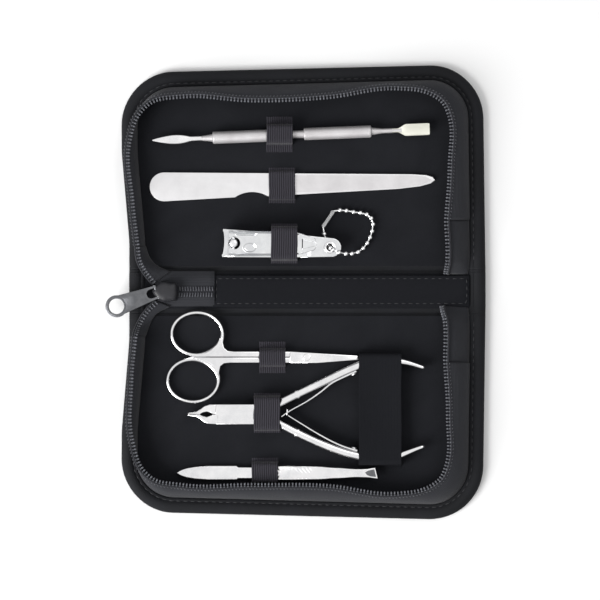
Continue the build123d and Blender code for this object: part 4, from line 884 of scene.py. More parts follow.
def tapeStitches(bm, path, shift, z):
    shifted = [p + sideways(h) * shift for p, h in zip(path, headings(path))]
    run = lengths(shifted)
    pitch = toothShape["pitch"]
    count = int(run[-1] / pitch)
    for i in range(count):
        at = pointAt(shifted, run, (i + 0.5) / count)
        ahead = pointAt(shifted, run, (i + 0.9) / count)
        heading = (ahead - at).normalized()
        turn = Matrix.Rotation(math.atan2(heading.y, heading.x) + 0.5, 4, "Z")
        size = Matrix.Diagonal((0.5 * mm, 0.17 * mm, 0.16 * mm, 1))
        bmesh.ops.create_uvsphere(bm, u_segments=6, v_segments=3, radius=1,
                                  matrix=Matrix.Translation((at + up * z) * mm) @ turn @ size)


def addStrand(side, label, chain, body, replaces=()):  # the teeth and the cord they grip
    teeth = bmesh.new()
    addTeeth(teeth, chain)
    mirrorSide(teeth, side)
    made = [finishMesh(label + "Teeth", teeth, looks["teeth"], body, replaces=replaces, sharp=40)]
    cord = loft(cordRows(chain, toothShape["cord"], -0.75, 0.25), closed=True, caps=True)
    mirrorSide(cord, side)
    return made + [finishMesh(label + "Cord", cord, looks["tape"], body)]


def makeZip(side):
    foot, chain = seamAndChain(side)
    name = sideName[side]
    tape = loft(tapeRows(foot, chain))
    mirrorSide(tape, side)
    piece = finishMesh(name + "ZipTape", tape, looks["tape"], name + "_half", replaces=[name + "_zip_tape"])
    wall = piece.modifiers.new("thickness", "SOLIDIFY")
    wall.thickness = zipShape["thick"] * mm
    wall.offset = 0
    addStrand(side, name + "Zip", chain, name + "_half", [name + "_zip_chain"])
    dashes = bmesh.new()
    tapeStitches(dashes, chain, -1.45, 0.5)
    mirrorSide(dashes, side)
    finishMesh(name + "ZipStitches", dashes, looks["tapeThread"], name + "_half")
    return foot, chain


turnShape = {
    upper: {"chain": [(-74.4, 13.6, 10.4), (-71.9, 8.6, 8.0), (-67.6, 3.2, 5.6)],
            "foot": [(-69.6, 14.2, 3.6), (-66.0, 10.8, 4.1), (-60.5, 8.7, 4.5)]},
    lower: {"chain": [(-74.6, 15.0, 5.6), (-71.4, 9.5, 5.0), (-66.4, 4.5, 5.3)],
            "foot": [(-69.8, 14.6, 3.6), (-66.4, 9.9, 4.1), (-60.5, 6.9, 4.5)]},
}
endShape = {
    upper: {"chain": [(64.6, 13.6, 10.6), (64.2, 10.0, 7.6), (63.9, 7.6, 4.3)],
            "foot": [(74.5, 13.0, 3.0), (74.2, 10.0, 3.0), (73.6, 7.4, 3.1)]},
    lower: {"chain": [(63.4, 13.0, 10.6), (62.6, 9.6, 7.6), (62.2, 6.6, 4.3)],
            "foot": [(74.5, 12.6, 3.0), (74.2, 9.8, 3.0), (73.6, 6.6, 3.1)]},
}


def zipRun(side, label, footKnots, chainKnots, node, flip):
    name = sideName[side]
    count = 26
    foot = resample(smoothRun(footKnots), count)
    chain = resample(smoothRun(chainKnots), count)
    if flip:
        foot, chain = foot[::-1], chain[::-1]
    tape = loft(tapeRows(foot, [p - up * 0.4 for p in chain], wave=0.1, curl=1.2))
    mirrorSide(tape, side)
    piece = finishMesh(name + label + "Tape", tape, looks["tape"], None, replaces=[node])
    bm = bmesh.new()
    bm.from_mesh(piece.data)
    bmesh.ops.solidify(bm, geom=bm.faces[:], thickness=zipShape["thick"] * mm)
    bm.to_mesh(piece.data)
    bm.free()
    for made in [piece] + addStrand(side, name + label, chain, None):
        blendAcross(made, side)


for side in (lower, upper):
    foot, chain = makeZip(side)
    turn, drop = turnShape[side], endShape[side]
    zipRun(side, "Turn", [foot[0]] + [Vector(p) for p in turn["foot"]],
           [chain[0]] + [Vector(p) for p in turn["chain"]], sideName[side] + "_zip_turn", True)
    zipRun(side, "End", [foot[-1]] + [Vector(p) for p in drop["foot"]],
           [chain[-1]] + [Vector(p) for p in drop["chain"]], sideName[side] + "_zip_end", False)
print("zip made")

# elastic loops and the wide strap

loopShape = {"width": 12.0, "thick": 0.75, "ribs": 12, "ribDeep": 0.1, "foot": 3.35}
loopsOver = {
    "pusher_loop": {"at": -11.2, "y": (62.6, 78.6), "clear": 6.2, "shoulder": 3.4, "joint": "pusher_pull"},
    "file_loop": {"at": -10.1, "y": (39.6, 55.6), "clear": 1.9, "shoulder": 1.4, "joint": "file_pull"},
    "clipper_loop": {"at": -9.1, "y": (12.4, 30.4), "clear": 13.0, "shoulder": 1.2, "joint": "clipper_pull"},
    "scissors_loop": {"at": -14.4, "y": (-37.0, -22.8), "clear": 4.0, "shoulder": 3.0, "joint": "scissors_pull"},
    "nipper_loop": {"at": -16.8, "y": (-63.9, -46.0), "clear": 7.8, "shoulder": 1.0, "joint": "nipper_pull"},
    "tweezers_loop": {"at": -17.8, "y": (-88.0, -75.2), "clear": 5.0, "shoulder": 1.6, "joint": "tweezers_pull"},
}
strapShape = {"at": 34.0, "width": 19.3, "y": (-79.8, -26.4), "clear": 6.4, "shoulder": 1.2, "sag": 2.4}


def bandPath(y, clear, shoulder, thick):
    y0, y1 = y
    foot, top = loopShape["foot"] + 0.05, 3.2 + clear + thick / 2
    rise = min(0.5, clear * 0.1)
    rounds = [0.7, min(1.8, clear * 0.6), min(1.8, clear * 0.6), 0.7]
    flat = roundedPath([(y0, foot), (y0 + shoulder, foot), (y0 + shoulder + rise, top),
                        (y1 - shoulder - rise, top), (y1 - shoulder, foot), (y1, foot)], rounds, 0.4)
    return resample(flat, 64)


def bandRows(path, at, width, ribs, ribDeep, seed, sag=None):
    rows = []
    across = ribs * 4
    tops = max(p.y for p in path)
    for k, p in enumerate(path):
        row = []
        share = k / (len(path) - 1)
        lean = noise.noise(Vector((share * 4, seed, 0))) * 0.25
        narrow = 1 - 0.02 * math.sin(math.pi * share)
        for j in range(across + 1):
            part = j / across
            ridge = abs(math.sin(part * ribs * math.pi)) * ribDeep
            low = sag(share, part) if sag and p.y > tops - 1.0 else 0
            row.append(Vector((at + lean + (part - 0.5) * width * narrow, p.x, p.y + ridge - low)))
        rows.append(row)
    return rows


def closeBand(bm, thick):
    bmesh.ops.recalc_face_normals(bm, faces=bm.faces)
    bmesh.ops.solidify(bm, geom=bm.faces[:], thickness=thick * mm)


def makeLoop(node, at, y, clear, shoulder, joint):
    path = bandPath(y, clear, shoulder, loopShape["thick"])
    bm = loft(bandRows(path, at, loopShape["width"], loopShape["ribs"], loopShape["ribDeep"], at))
    closeBand(bm, loopShape["thick"])
    body = "upper_half" if y[0] > 0 else "lower_half"
    label = "".join(w.capitalize() if k else w for k, w in enumerate(node.split("_")))
    piece = finishMesh(label, bm, looks["elastic"], body, replaces=[node], sharp=60)
    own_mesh(piece)


def makeStrap():
    shape = strapShape
    path = bandPath(shape["y"], shape["clear"], shape["shoulder"], loopShape["thick"])

    def sag(share, part):
        return shape["sag"] * math.sin(math.pi * share) ** 2 * (0.75 + 0.25 * math.sin(math.pi * part))

    bm = loft(bandRows(path, shape["at"], shape["width"], 14, 0.05, 2.0, sag))
    closeBand(bm, loopShape["thick"])
    piece = finishMesh("handleStrap", bm, looks["strap"], "lower_half", replaces=["handle_strap"], sharp=60)
    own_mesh(piece)


for node, values in loopsOver.items():
    makeLoop(node, **values)
makeStrap()
print("loops made")

# spine: stitched strip, closed tail of the zip, slider and pull

stripShape = {"x": (-41.2, 74.2), "y": 7.2, "low": 3.2, "top": 4.5, "rows": 60,
              "groove": (1.6, 0.4, 0.22), "sew": (1.6, 1.0)}


def makeStrip():
    shape = stripShape
    x0, x1 = shape["x"]
    grooveAt, grooveW, deep = shape["groove"]
    rows = []
    for k in range(shape["rows"] + 1):
        x = x0 + (x1 - x0) * k / shape["rows"]
        end = min(x - x0, x1 - x, 2.0) / 2.0
        top = shape["top"] - 0.5 * (1 - end) ** 2
        row = []
        for j in range(21):
            part = j / 20
            y = (part - 0.5) * 2 * shape["y"]
            edge = min(part, 1 - part) * 2 * shape["y"]
            z = top - 0.45 * max(0, 1 - edge / 0.8) ** 2 - deep * math.exp(-((edge - grooveAt) / grooveW) ** 2)
            z += 0.12 * noise.noise(Vector((x / 18, y / 9, 4)))
            row.append(Vector((x, y + 0.15 * noise.noise(Vector((x / 25, 2, 0))), z)))
        row += [Vector((x, shape["y"], shape["low"])), Vector((x, -shape["y"], shape["low"]))]
        rows.append(row)
    bm = loft(rows, closed=True, caps=True)
    finishMesh("spineStrip", bm, looks["strap"], "spine", replaces=["spine_strip"], sharp=70)
    thread = bmesh.new()
    inset, far = shape["sew"]
    left, right, reach = x0 + inset, x1 - far, shape["y"] - inset
    around = [(left, -reach), (right, -reach), (right, reach), (left, reach), (left, -reach)]
    path = resample([Vector(p) for p in around], 400)
    stitchRun(thread, path, shape["top"] - 0.2, 2.2, 1.0, 0.5)
    finishMesh("stripStitches", thread, looks["stripThread"], "spine")


tailShape = {"x": (-67.0, -40.6), "y": (-6.7, 8.7), "top": 5.0, "edgeZ": 3.5, "toothX": (-56.4, -41.6),
             "rows": ((0.95, 0.35, 0.1), (-1.75, 0.0, -0.1)), "tooth": (0.62, 2.0, 1.3), "toothZ": 5.3}


def makeTail():
    shape = tailShape
    x0, x1 = shape["x"]
    y0, y1 = shape["y"]
    rows = []
    for k in range(31):
        share = k / 30
        x = x0 + (x1 - x0) * share
        row = []
        for j in range(17):
            part = j / 16
            y = y0 + (y1 - y0) * part
            edge = abs(part - 0.5) * 2
            z = shape["edgeZ"] + (shape["top"] - shape["edgeZ"]) * (1 - max(0, (edge - 0.55) / 0.45) ** 1.6)
            z += 0.08 * noise.noise(Vector((x / 5, y / 4, 1))) - 5.0 * max(0, share - 0.93)
            row.append(Vector((x, y, z)))
        rows.append(row)
    bm = loft(rows)
    closeBand(bm, -0.45)
    finishMesh("tailTape", bm, looks["tape"], "spine", replaces=["zip_tail_tape"], sharp=60)
    teeth = bmesh.new()
    for rowY, ahead, tilt in shape["rows"]:
        x, last = shape["toothX"]
        while x < last:
            block(teeth, (x + ahead, rowY, shape["toothZ"]), shape["tooth"], Matrix.Rotation(tilt, 4, "Z"))
            x += toothShape["pitch"] * 0.8
    bevelEdges(teeth, teeth.edges[:], toothShape["edge"])
    finishMesh("tailTeeth", teeth, looks["tailTeeth"], "spine", replaces=["zip_tail_chain"], sharp=40)


sliderShape = {
    "outline": [(-68.7, -0.35), (-67.2, 2.6), (-63.6, 4.9), (-60.2, 4.0), (-56.9, 3.8), (-56.9, -4.2),
                (-60.4, -4.7), (-63.2, -5.4), (-66.8, -3.3)],
    "dome": [(0.5, 6.8), (0.1, 6.95), (0.0, 7.3), (0.05, 7.9), (0.2, 8.5), (0.45, 9.1), (0.8, 9.55),
             (1.3, 9.9), (1.9, 10.12), (2.6, 10.25), (3.3, 10.3)],
    "plate": [(1.3, 3.5), (1.0, 3.65), (1.0, 4.2), (1.3, 4.45)],
    "blocks": [((-65.8, -0.45, 5.6), (3.6, 0.5, 2.6)),  # the diamond between the chains, then the two flanges
               ((-61.2, 3.55, 6.4), (6.0, 0.6, 1.3)), ((-61.2, -4.45, 6.4), (6.0, 0.6, 1.3))],
}


def cutCorners(points, times):  # rounds a closed outline by cutting its corners again and again
    for _ in range(times):
        points = [p for a, b in zip(points, points[1:] + points[:1])
                  for p in ((0.78 * a[0] + 0.22 * b[0], 0.78 * a[1] + 0.22 * b[1]),
                            (0.22 * a[0] + 0.78 * b[0], 0.22 * a[1] + 0.78 * b[1]))]
    return points


def ringStack(outline, levels):  # level rings of one outline, drawn in toward its middle
    cx = sum(p[0] for p in outline) / len(outline)
    cy = sum(p[1] for p in outline) / len(outline)
    rows = []
    for inset, z in levels:
        row = []
        for x, y in outline:
            reach = math.hypot(x - cx, y - cy)
            keep = 1 - inset / reach
            row.append(Vector((cx + (x - cx) * keep, cy + (y - cy) * keep, z)))
        rows.append(row)
    return loft(rows, closed=True, caps=True)


def makeSlider():
    shape = sliderShape
    outline = cutCorners(shape["outline"], 3)
    bm = ringStack(outline, shape["dome"])
    joinInto(bm, ringStack(outline, shape["plate"]))
    post = bmesh.new()
    for at, size in shape["blocks"]:
        block(post, at, size)
    joinInto(bm, post)
    finishMesh("sliderShell", bm, looks["slider"], "slider", replaces=["slider_body", "slider_bridge"], sharp=50)


pullShape = {"pivot": (-66.4, -0.45, 9.2), "yaw": 19.6, "droop": 5.5, "length": 19.3, "ring": 5.0, "hole": 3.45,
             "thick": 1.3, "fork": 5.9, "notch": 2.0, "notchDeep": 4.6}


def arcPoints(centre, radius, start, end, count):
    cx, cy = centre
    angles = [math.radians(start + (end - start) * k / count) for k in range(count + 1)]
    return [(cx + radius * math.cos(a), cy + radius * math.sin(a)) for a in angles]


def plateMesh(outline, holes, z0, z1):  # a flat plate with holes: filled edge loops, then extruded
    bm = bmesh.new()
    edges = []
    for ring in [outline] + holes:
        verts = [bm.verts.new(Vector((x, y, z0)) * mm) for x, y in ring]
        edges += [bm.edges.new(pair) for pair in zip(verts, verts[1:] + verts[:1])]
    bmesh.ops.triangle_fill(bm, use_beauty=True, use_dissolve=False, edges=edges, normal=(0, 0, 1))
    made = bmesh.ops.extrude_face_region(bm, geom=bm.faces[:], use_keep_orig=True)["geom"]
    verts = [g for g in made if isinstance(g, bmesh.types.BMVert)]
    bmesh.ops.translate(bm, vec=(0, 0, (z1 - z0) * mm), verts=verts)
    bmesh.ops.recalc_face_normals(bm, faces=bm.faces)
    return bm


def softenPlate(bm, edge, segments=2):  # bevels the outline edges, top and bottom
    sharp = []
    for hem in bm.edges:
        level = sorted(abs(f.normal.z) for f in hem.link_faces)
        if len(level) == 2 and level[1] > 0.9 > level[0] + 0.4:
            sharp.append(hem)
    bevelEdges(bm, sharp, edge, segments, clamp=True)


def turnOnto(bm, at, turn, z=0.0):  # from a tool's own place to its place in the case
    place = Matrix.Translation(Vector((at[0], at[1], z)) * mm) @ Matrix.Rotation(math.radians(turn), 4, "Z")
    bmesh.ops.transform(bm, matrix=place, verts=bm.verts)


def pullOutline(grow):
    shape = pullShape
    ring, length = shape["ring"] - grow, shape["length"]
    fork = shape["fork"] / 2 - grow
    tangent = 62
    points = arcPoints((length, 0), ring, 180 - tangent, -(180 - tangent), 30)
    notch = shape["notch"] + grow
    deep = shape["notchDeep"] + grow
    points += [(-0.6 + grow, -fork), (-0.6 + grow, -notch)]
    points += arcPoints((deep - notch, 0), notch, -90, 90, 12)
    points += [(-0.6 + grow, notch), (-0.6 + grow, fork)]
    return points


def makePull():
    shape = pullShape
    half = shape["thick"] / 2
    hole = arcPoints((shape["length"], 0), shape["hole"], 0, 360, 36)[:-1]
    bm = plateMesh(pullOutline(0), [hole], -half, half)
    softenPlate(bm, 0.3)
    pin = bmesh.new()
    rod(pin, 0.6, 6.2, Matrix.Rotation(math.radians(90), 4, "X"))
    joinInto(bm, pin)
    wide = arcPoints((shape["length"], 0), shape["hole"] + 0.85, 0, 360, 36)[:-1]
    narrow = arcPoints((shape["length"], 0), shape["hole"] + 0.15, 0, 360, 36)[:-1]
    rim = plateMesh(wide, [narrow], half - 0.05, half + 0.12)
    softenPlate(rim, 0.08)
    joinInto(bm, rim)
    yaw = math.radians(180 + shape["yaw"])
    tip = Matrix.Rotation(math.radians(shape["droop"]), 4, "Y")
    place = Matrix.Translation(Vector(shape["pivot"]) * mm) @ Matrix.Rotation(yaw, 4, "Z") @ tip
    bmesh.ops.transform(bm, matrix=place, verts=bm.verts)
    finishMesh("pullTab", bm, looks["pull"], "pull", replaces=["zip_pull"], sharp=35)


makeStrip()
makeTail()
makeSlider()
makePull()
print("spine, slider and pull made")

# tools: pusher and file

restZ = 3.4
pusherShape = {"at": (-68.4, 67.8), "turn": 2.34, "axisZ": 6.1, "barrel": 2.7, "waist": 1.7, "neck": 1.05,
               "neckIn": 5.0,
               "barrels": ((27.1, 57.5), (68.2, 98.6)), "from": 22.0, "to": 112.0, "knurl": 0.07, "pitch": 0.9}
spearShape = {"length": 26.0, "wide": 2.05, "neckAt": 17.0, "point": 0.12, "neck": 1.0, "blade": (0.55, 6.0),
              "thick": 0.67, "grow": 0.4 / 9}
spadeShape = {"from": 108.0, "neckTo": 113.5, "to": 124.8, "wide": 2.75, "dish": 0.35}


def pusherRadius(x):
    shape = pusherShape
    for start, end in shape["barrels"]:
        if start <= x <= end:
            inside = min(x - start, end - x)
            return shape["barrel"] - 0.45 * max(0, 1 - inside / 0.5) ** 2
    first, last = shape["barrels"][0][0], shape["barrels"][1][1]
    past = max(first - x, x - last, 0)
    return shape["neck"] + (shape["waist"] - shape["neck"]) * max(0, 1 - past / shape["neckIn"])


def layOnPusher(name, rows, look, node, sharp=60):
    bm = loft(rows, closed=True, caps=True)
    turnOnto(bm, pusherShape["at"], pusherShape["turn"], pusherShape["axisZ"])
    finishMesh(name, bm, look, "pusher", replaces=[node], sharp=sharp)


def makeHandle():
    shape = pusherShape
    stations = [shape["from"]]
    while stations[-1] < shape["to"]:
        x = stations[-1]
        inBarrel = any(a - 0.6 < x < b + 0.6 for a, b in shape["barrels"])
        stations.append(x + (0.225 if inBarrel else 0.8))
    rows = []
    sides = 48
    for x in stations:
        radius = pusherRadius(x)
        row = []
        for k in range(sides):
            angle = 2 * math.pi * k / sides
            r = radius
            if any(a + 0.8 < x < b - 0.8 for a, b in shape["barrels"]):
                phase = x * math.pi / shape["pitch"]
                r += shape["knurl"] * math.sin(phase + 12 * angle) * math.sin(phase - 12 * angle)
            row.append(Vector((x, r * math.cos(angle), r * math.sin(angle))))
        rows.append(row)
    layOnPusher("pusherHandle", rows, looks["knurled"], "pusher_handle", 50)


def makeSpear():
    spear = spearShape
    rows = []
    for k in range(41):
        x = spear["length"] * k / 40
        beyond = x - spear["neckAt"]
        if beyond < 0:
            part = x / spear["neckAt"]
            leaf = math.sin(math.pi * min(part * 0.86 + 0.02, 1) ** 1.15) ** 0.8
            wide = spear["point"] + max(spear["wide"] * leaf, spear["neck"] * part)
            deep, run = spear["blade"]
            thick = spear["point"] + deep * min(1, x / run)
        else:
            wide = spear["point"] + spear["neck"]
            thick = spear["thick"] + spear["grow"] * beyond
        rows.append([Vector((x, wide * math.cos(a), thick * math.copysign(abs(math.sin(a)) ** 0.8, math.sin(a))))
                     for a in angles(16)])
    layOnPusher("pusherSpear", rows, looks["polished"], "pusher_spear")


def makeSpade():
    spade = spadeShape
    rows = []
    for k in range(31):
        x = spade["from"] + (spade["to"] - spade["from"]) * k / 30
        part = max(0, min(1, (x - spade["neckTo"] + 3.5) / 4.5))
        swell = part * part * (3 - 2 * part)
        wide = 1.0 + (spade["wide"] - 1.0) * swell
        if x > spade["to"] - 0.4:
            wide -= 0.3 * ((x - spade["to"] + 0.4) / 0.4) ** 2
        thick = 0.95 - 0.55 * swell
        lift = spade["dish"] * swell
        row = []
        for a in angles(16):
            y = wide * math.copysign(abs(math.cos(a)) ** 0.4, math.cos(a))
            z = thick * math.copysign(abs(math.sin(a)) ** 0.6, math.sin(a)) + lift * (y / spade["wide"]) ** 2
            row.append(Vector((x, y, z)))
        rows.append(row)
    layOnPusher("pusherSpade", rows, looks["spade"], "pusher_spade")


fileShape = {"at": (-69.7, 46.9), "grip": 6.5, "thick": 1.2, "notch": ((38.4, -4.7), (46.1, -2.3), (53.2, -4.2)),
             "taper": [(112.0, -0.9), (122.0, 0.3), (126.6, 1.6), (128.5, 3.1), (127.4, 4.4), (124.4, 5.3)],
             "top": (118.0, 5.7), "cutFrom": 56.0, "cutEdge": 0.45}


def threePointArc(a, b, c, count):
    (ax, ay), (bx, by), (cx, cy) = a, b, c
    d = 2 * (ax * (by - cy) + bx * (cy - ay) + cx * (ay - by))
    aa, bb, cc = [x ** 2 + y ** 2 for x, y in (a, b, c)]
    ux = (aa * (by - cy) + bb * (cy - ay) + cc * (ay - by)) / d
    uy = (aa * (cx - bx) + bb * (ax - cx) + cc * (bx - ax)) / d
    radius = math.hypot(ax - ux, ay - uy)
    first = math.degrees(math.atan2(ay - uy, ax - ux))
    middle = math.degrees(math.atan2(by - uy, bx - ux))
    last = math.degrees(math.atan2(cy - uy, cx - ux))
    turn = (last - first) % 360
    if (middle - first) % 360 > turn:
        turn -= 360
    return arcPoints((ux, uy), radius, first, first + turn, count)


def makeFile():
    shape = fileShape
    grip = shape["grip"]
    outline = arcPoints((grip, 0), grip, 90, 270, 24)
    outline += threePointArc(*shape["notch"], 14)
    outline += shape["taper"] + [shape["top"]]
    bm = plateMesh(outline, [], 0, shape["thick"])
    softenPlate(bm, 0.3, 3)
    turnOnto(bm, shape["at"], 0, restZ)
    finishMesh("nailFile", bm, looks["fileSteel"], "file", replaces=["nail_file"], sharp=40)
    top, edge = shape["thick"], shape["cutEdge"]
    face = [(shape["cutFrom"], 5.7 - edge), (shape["cutFrom"], -3.5 + edge), (112.0, -0.9 + edge),
            (121.6, 0.3 + edge), (125.8, 1.9 + edge), (127.0, 3.1), (124.0, 5.2 - edge), (118.0, 5.7 - edge)]
    cut = plateMesh(face, [], top - 0.05, top + 0.03)
    turnOnto(cut, shape["at"], 0, restZ)
    finishMesh("fileCutFace", cut, looks["fileCut"], "file", sharp=40)


makeHandle()
makeSpear()
makeSpade()
makeFile()
print("pusher and file made")

# the nail clipper's place, and its ball chain

clipperShape = {"at": (-31.8, 21.4), "turn": -2.4, "leverTurn": -0.6, "armT": 1.2}
beadShape = {
    "radius": 1.12, "link": 0.36, "lie": 4.5,
    "places": [(16.0, 36.4, 0), (18.9, 36.2, 0), (22.1, 35.6, 0), (25.2, 35.2, 0), (28.1, 34.5, 0),
               (30.1, 32.8, 0), (30.9, 30.1, 0), (30.5, 27.0, 0), (29.6, 24.2, 0), (28.3, 21.6, 0),
               (26.5, 19.3, 0), (24.2, 17.6, 0.5), (21.4, 16.8, 1.6)],
    "connector": ((13.1, 36.0), (8.3, 28.9)),
}


def makeChain():
    shape = beadShape
    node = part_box("clipper_eyelet")
    eyeX, eyeY = [(a + b) / 2 / mm for a, b in zip(node[0][:2], node[1][:2])]
    over = node[1][2] / mm + shape["radius"] + 0.2
    places = [Vector((x, y, shape["lie"] + z)) for x, y, z in shape["places"]]
    places += [Vector((18.6, 16.7, over - 1.6)), Vector((15.5, 17.3, over)), Vector((12.9, 18.6, over)),
               Vector((eyeX + 0.3, eyeY - 0.2, 8.3)), Vector((eyeX - 0.3, eyeY + 0.3, shape["lie"] + 0.3)),
               Vector((9.7, 22.7, shape["lie"])), Vector((8.9, 25.7, shape["lie"]))]
    bm = bmesh.new()
    for at in places:
        bmesh.ops.create_uvsphere(bm, u_segments=18, v_segments=12, radius=shape["radius"] * mm,
                                  matrix=Matrix.Translation(at * mm))
    ends = [Vector((x, y, shape["lie"])) for x, y in shape["connector"]]
    for a, b in list(zip(places, places[1:])) + [(ends[0], places[0]), (places[-1], ends[1])]:
        along = b - a
        turn = along.to_track_quat("Z", "Y").to_matrix().to_4x4()
        rod(bm, shape["link"], along.length, Matrix.Translation((a + b) / 2 * mm) @ turn, 8)
    finishMesh("ballChain", bm, looks["chain"], "chain", replaces=["ball_chain"], sharp=40)
    along = ends[1] - ends[0]
    side = Vector((-along.y, along.x, 0)).normalized()
    rows = []
    for k in range(13):  # a folded clasp, open in a slot along its top and pinched round the end beads
        share = k / 12
        radius = 0.95 + 0.16 * sum(math.exp(-((share - end) / 0.08) ** 2) for end in (0.12, 0.88))
        centre = ends[0] + along * share
        gap = 0.35
        row = [centre + side * radius * math.sin(a) + up * radius * math.cos(a)
               for a in [gap + (2 * math.pi - 2 * gap) * j / 20 for j in range(21)]]
        rows.append(row)
    clasp = loft(rows)
    bmesh.ops.recalc_face_normals(clasp, faces=clasp.faces)
    bmesh.ops.solidify(clasp, geom=clasp.faces[:], thickness=0.2 * mm)
    finishMesh("chainClasp", clasp, looks["chain"], "chain", replaces=["chain_connector"], sharp=50)


makeChain()
print("chain made")

# tools: scissors

scissorsShape = {"at": (1.1, -29.8), "turn": -0.1, "thick": 3.0}
bowShape = {upper: {"centre": (-49.5, 10.45)}, lower: {"centre": (-51.3, -10.6)}, "rx": 11.4, "ry": 9.55,
            "wall": 0.84, "swell": 0.9, "high": 1.2}


def bowRows(side):
    cx, cy = bowShape[side]["centre"]
    rows = []
    count = 72
    meet = -48 if side == upper else 48
    for k in range(count):
        degrees = 360 * k / count
        angle = math.radians(degrees)
        off = abs((degrees - meet + 180) % 360 - 180)
        near = math.exp(-(off / 34) ** 2)
        wall = bowShape["wall"] + bowShape["swell"] * near
        high = bowShape["high"] + 0.2 * near
        centre = Vector((cx + bowShape["rx"] * math.cos(angle), cy + bowShape["ry"] * math.sin(angle), 1.5))
        outwardDir = Vector((math.cos(angle) / bowShape["rx"], math.sin(angle) / bowShape["ry"], 0)).normalized()
        centre += outwardDir * 0.35 * near
        rows.append([centre + outwardDir * wall * math.cos(a) + up * high * math.sin(a)
                     for a in angles(14)])
    return rows + [rows[0]]


shankShape = {
    upper: [(-51.6, 0.1), (-47.0, 1.35), (-43.4, 3.1), (-40.6, 5.7), (-39.2, 8.6), (-37.9, 9.2), (-37.7, 6.4),
            (-37.2, 4.2), (-35.6, 2.9), (-33.0, 2.6), (-6.2, 2.6), (-6.2, 0.08)],
    lower: [(-52.6, -0.1), (-48.4, -1.35), (-44.9, -3.1), (-42.2, -5.7), (-40.9, -8.6), (-39.6, -9.2),
            (-39.4, -6.4), (-38.9, -4.2), (-37.3, -2.9), (-34.6, -2.6), (-6.2, -2.6), (-6.2, -0.08)],
}
bladeShape = {"from": -7.8, "root": 2.6, "tip": 26.6, "tipY": -0.15, "tipW": 0.7}


def makeScissors(side):
    shape = scissorsShape
    own = 0.0 if side == upper else 1.55
    bm = loft(bowRows(side), closed=True)
    shank = plateMesh(shankShape[side], [], 0.15, shape["thick"] - 0.15)
    softenPlate(shank, 0.45, 3)
    joinInto(bm, shank)
    blade = bladeShape
    edge = blade["root"]
    tip, tipY, tipW = blade["tip"], blade["tipY"], blade["tipW"]
    outline = [(blade["from"], -edge), (4.5, -edge), (tip - 0.4, tipY - tipW), (tip, tipY),
               (tip - 0.4, tipY + tipW), (blade["from"], edge)]
    hole = arcPoints((0, 0), 1.1, 0, 360, 20)[:-1]
    face = plateMesh(outline, [hole], own, own + 1.45)
    softenPlate(face, 0.3, 2)
    joinInto(bm, face)
    turnOnto(bm, shape["at"], shape["turn"], restZ)
    name = "lower" if side == upper else "upper"
    body = "scissors" if side == upper else "scissors_top"
    finishMesh("scissors" + name.capitalize() + "Half", bm, looks["polished"], body,
               replaces=["scissors_" + name + "_blade"], sharp=35)


def makeScrew(label, node, body, at, z, radius, high, look):  # domed head with a slot
    bm = bmesh.new()
    rod(bm, radius, high, Matrix.Translation(Vector((0, 0, high / 2)) * mm), 32)
    top = max(bm.faces, key=lambda f: f.calc_center_median().z)
    bevelEdges(bm, list(top.edges), high * 0.5, 3)
    slotCut = radius * 0.18
    for toward in (1, -1):
        geom = bm.verts[:] + bm.edges[:] + bm.faces[:]
        bmesh.ops.bisect_plane(bm, geom=geom, plane_co=(0, toward * slotCut * mm, 0), plane_no=(0, 1, 0),
                               dist=1e-9)
    for vert in bm.verts:
        if abs(vert.co.y) < slotCut * mm * 1.01 and vert.co.z > high * 0.6 * mm:
            vert.co.z -= high * 0.45 * mm
    rod(bm, radius * 0.58, z - restZ, Matrix.Translation(Vector((0, 0, -(z - restZ) / 2)) * mm))
    turnOnto(bm, at, 25, z)
    finishMesh(label, bm, looks[look], body, replaces=[node], sharp=35)


for side in (upper, lower):
    makeScissors(side)
makeScrew("scissorsScrew", "scissors_screw", "scissors", scissorsShape["at"], restZ + 3.0, 1.65, 0.55,
          "polished")
print("scissors made")

# the nail clipper itself: arms, post, eyelet and lever

def smooth(share):
    share = min(max(share, 0.0), 1.0)
    return share * share * (3 - 2 * share)


def roundOff(edge, radius):  # how far a rounded edge falls at a distance in from the side
    inside = min(max(edge, 0.0), radius)
    return radius - math.sqrt(max(radius ** 2 - (radius - inside) ** 2, 0.0))


def slabRow(x, half, under, thick, edge=0.3, count=14, shift=None, crown=None):  # a ring of a sheet's section
    ring = []
    for face in (1, -1):
        for j in range(count + 1):
            y = half * math.sin(math.pi * (j / count - 0.5)) * face
            fall = roundOff(half - abs(y), min(edge, half))
            z = under + thick - fall if face > 0 else under + fall
            ring.append(Vector((x + (shift(x, y) if shift else 0), y, z + (crown(x, y) if crown else 0))))
    return ring


armShape = {"ends": (-5.0, 48.25), "half": 6.3, "shoulder": (28.3, 5.15), "tail": (44.1, 4.2), "meet": 7.425,
            "lift": 2.8, "belly": (1.5, 24.0, 36.8), "jawRise": 2.0, "bow": 0.8, "rows": 130}


def taperedHalf(shape, x, last):  # half width down to the last taper, or None past it
    (sx, sh), (tx, th) = shape["shoulder"], shape[last]
    if x < sx:
        return shape["half"] + (sh - shape["half"]) * (x - shape["ends"][0]) / (sx - shape["ends"][0])
    return sh + (th - sh) * (x - sx) / (tx - sx) if x < tx else None


def armHalf(x):
    tx, th = armShape["tail"]
    return taperedHalf(armShape, x, "tail") or math.sqrt(max(th ** 2 - (x - tx) ** 2, 0.04))


def armUnder(x):
    front, back, tail = armShape["belly"]
    if x > back:
        return restZ + armShape["lift"] * smooth((x - back) / (tail - back))
    return restZ + armShape["jawRise"] * smooth((front - x) / (front - armShape["ends"][0]))


def jawBow(x, y):
    return armShape["bow"] * (1 - (y / armShape["half"]) ** 2) * max(0, 1 - (x - armShape["ends"][0]) / 5)


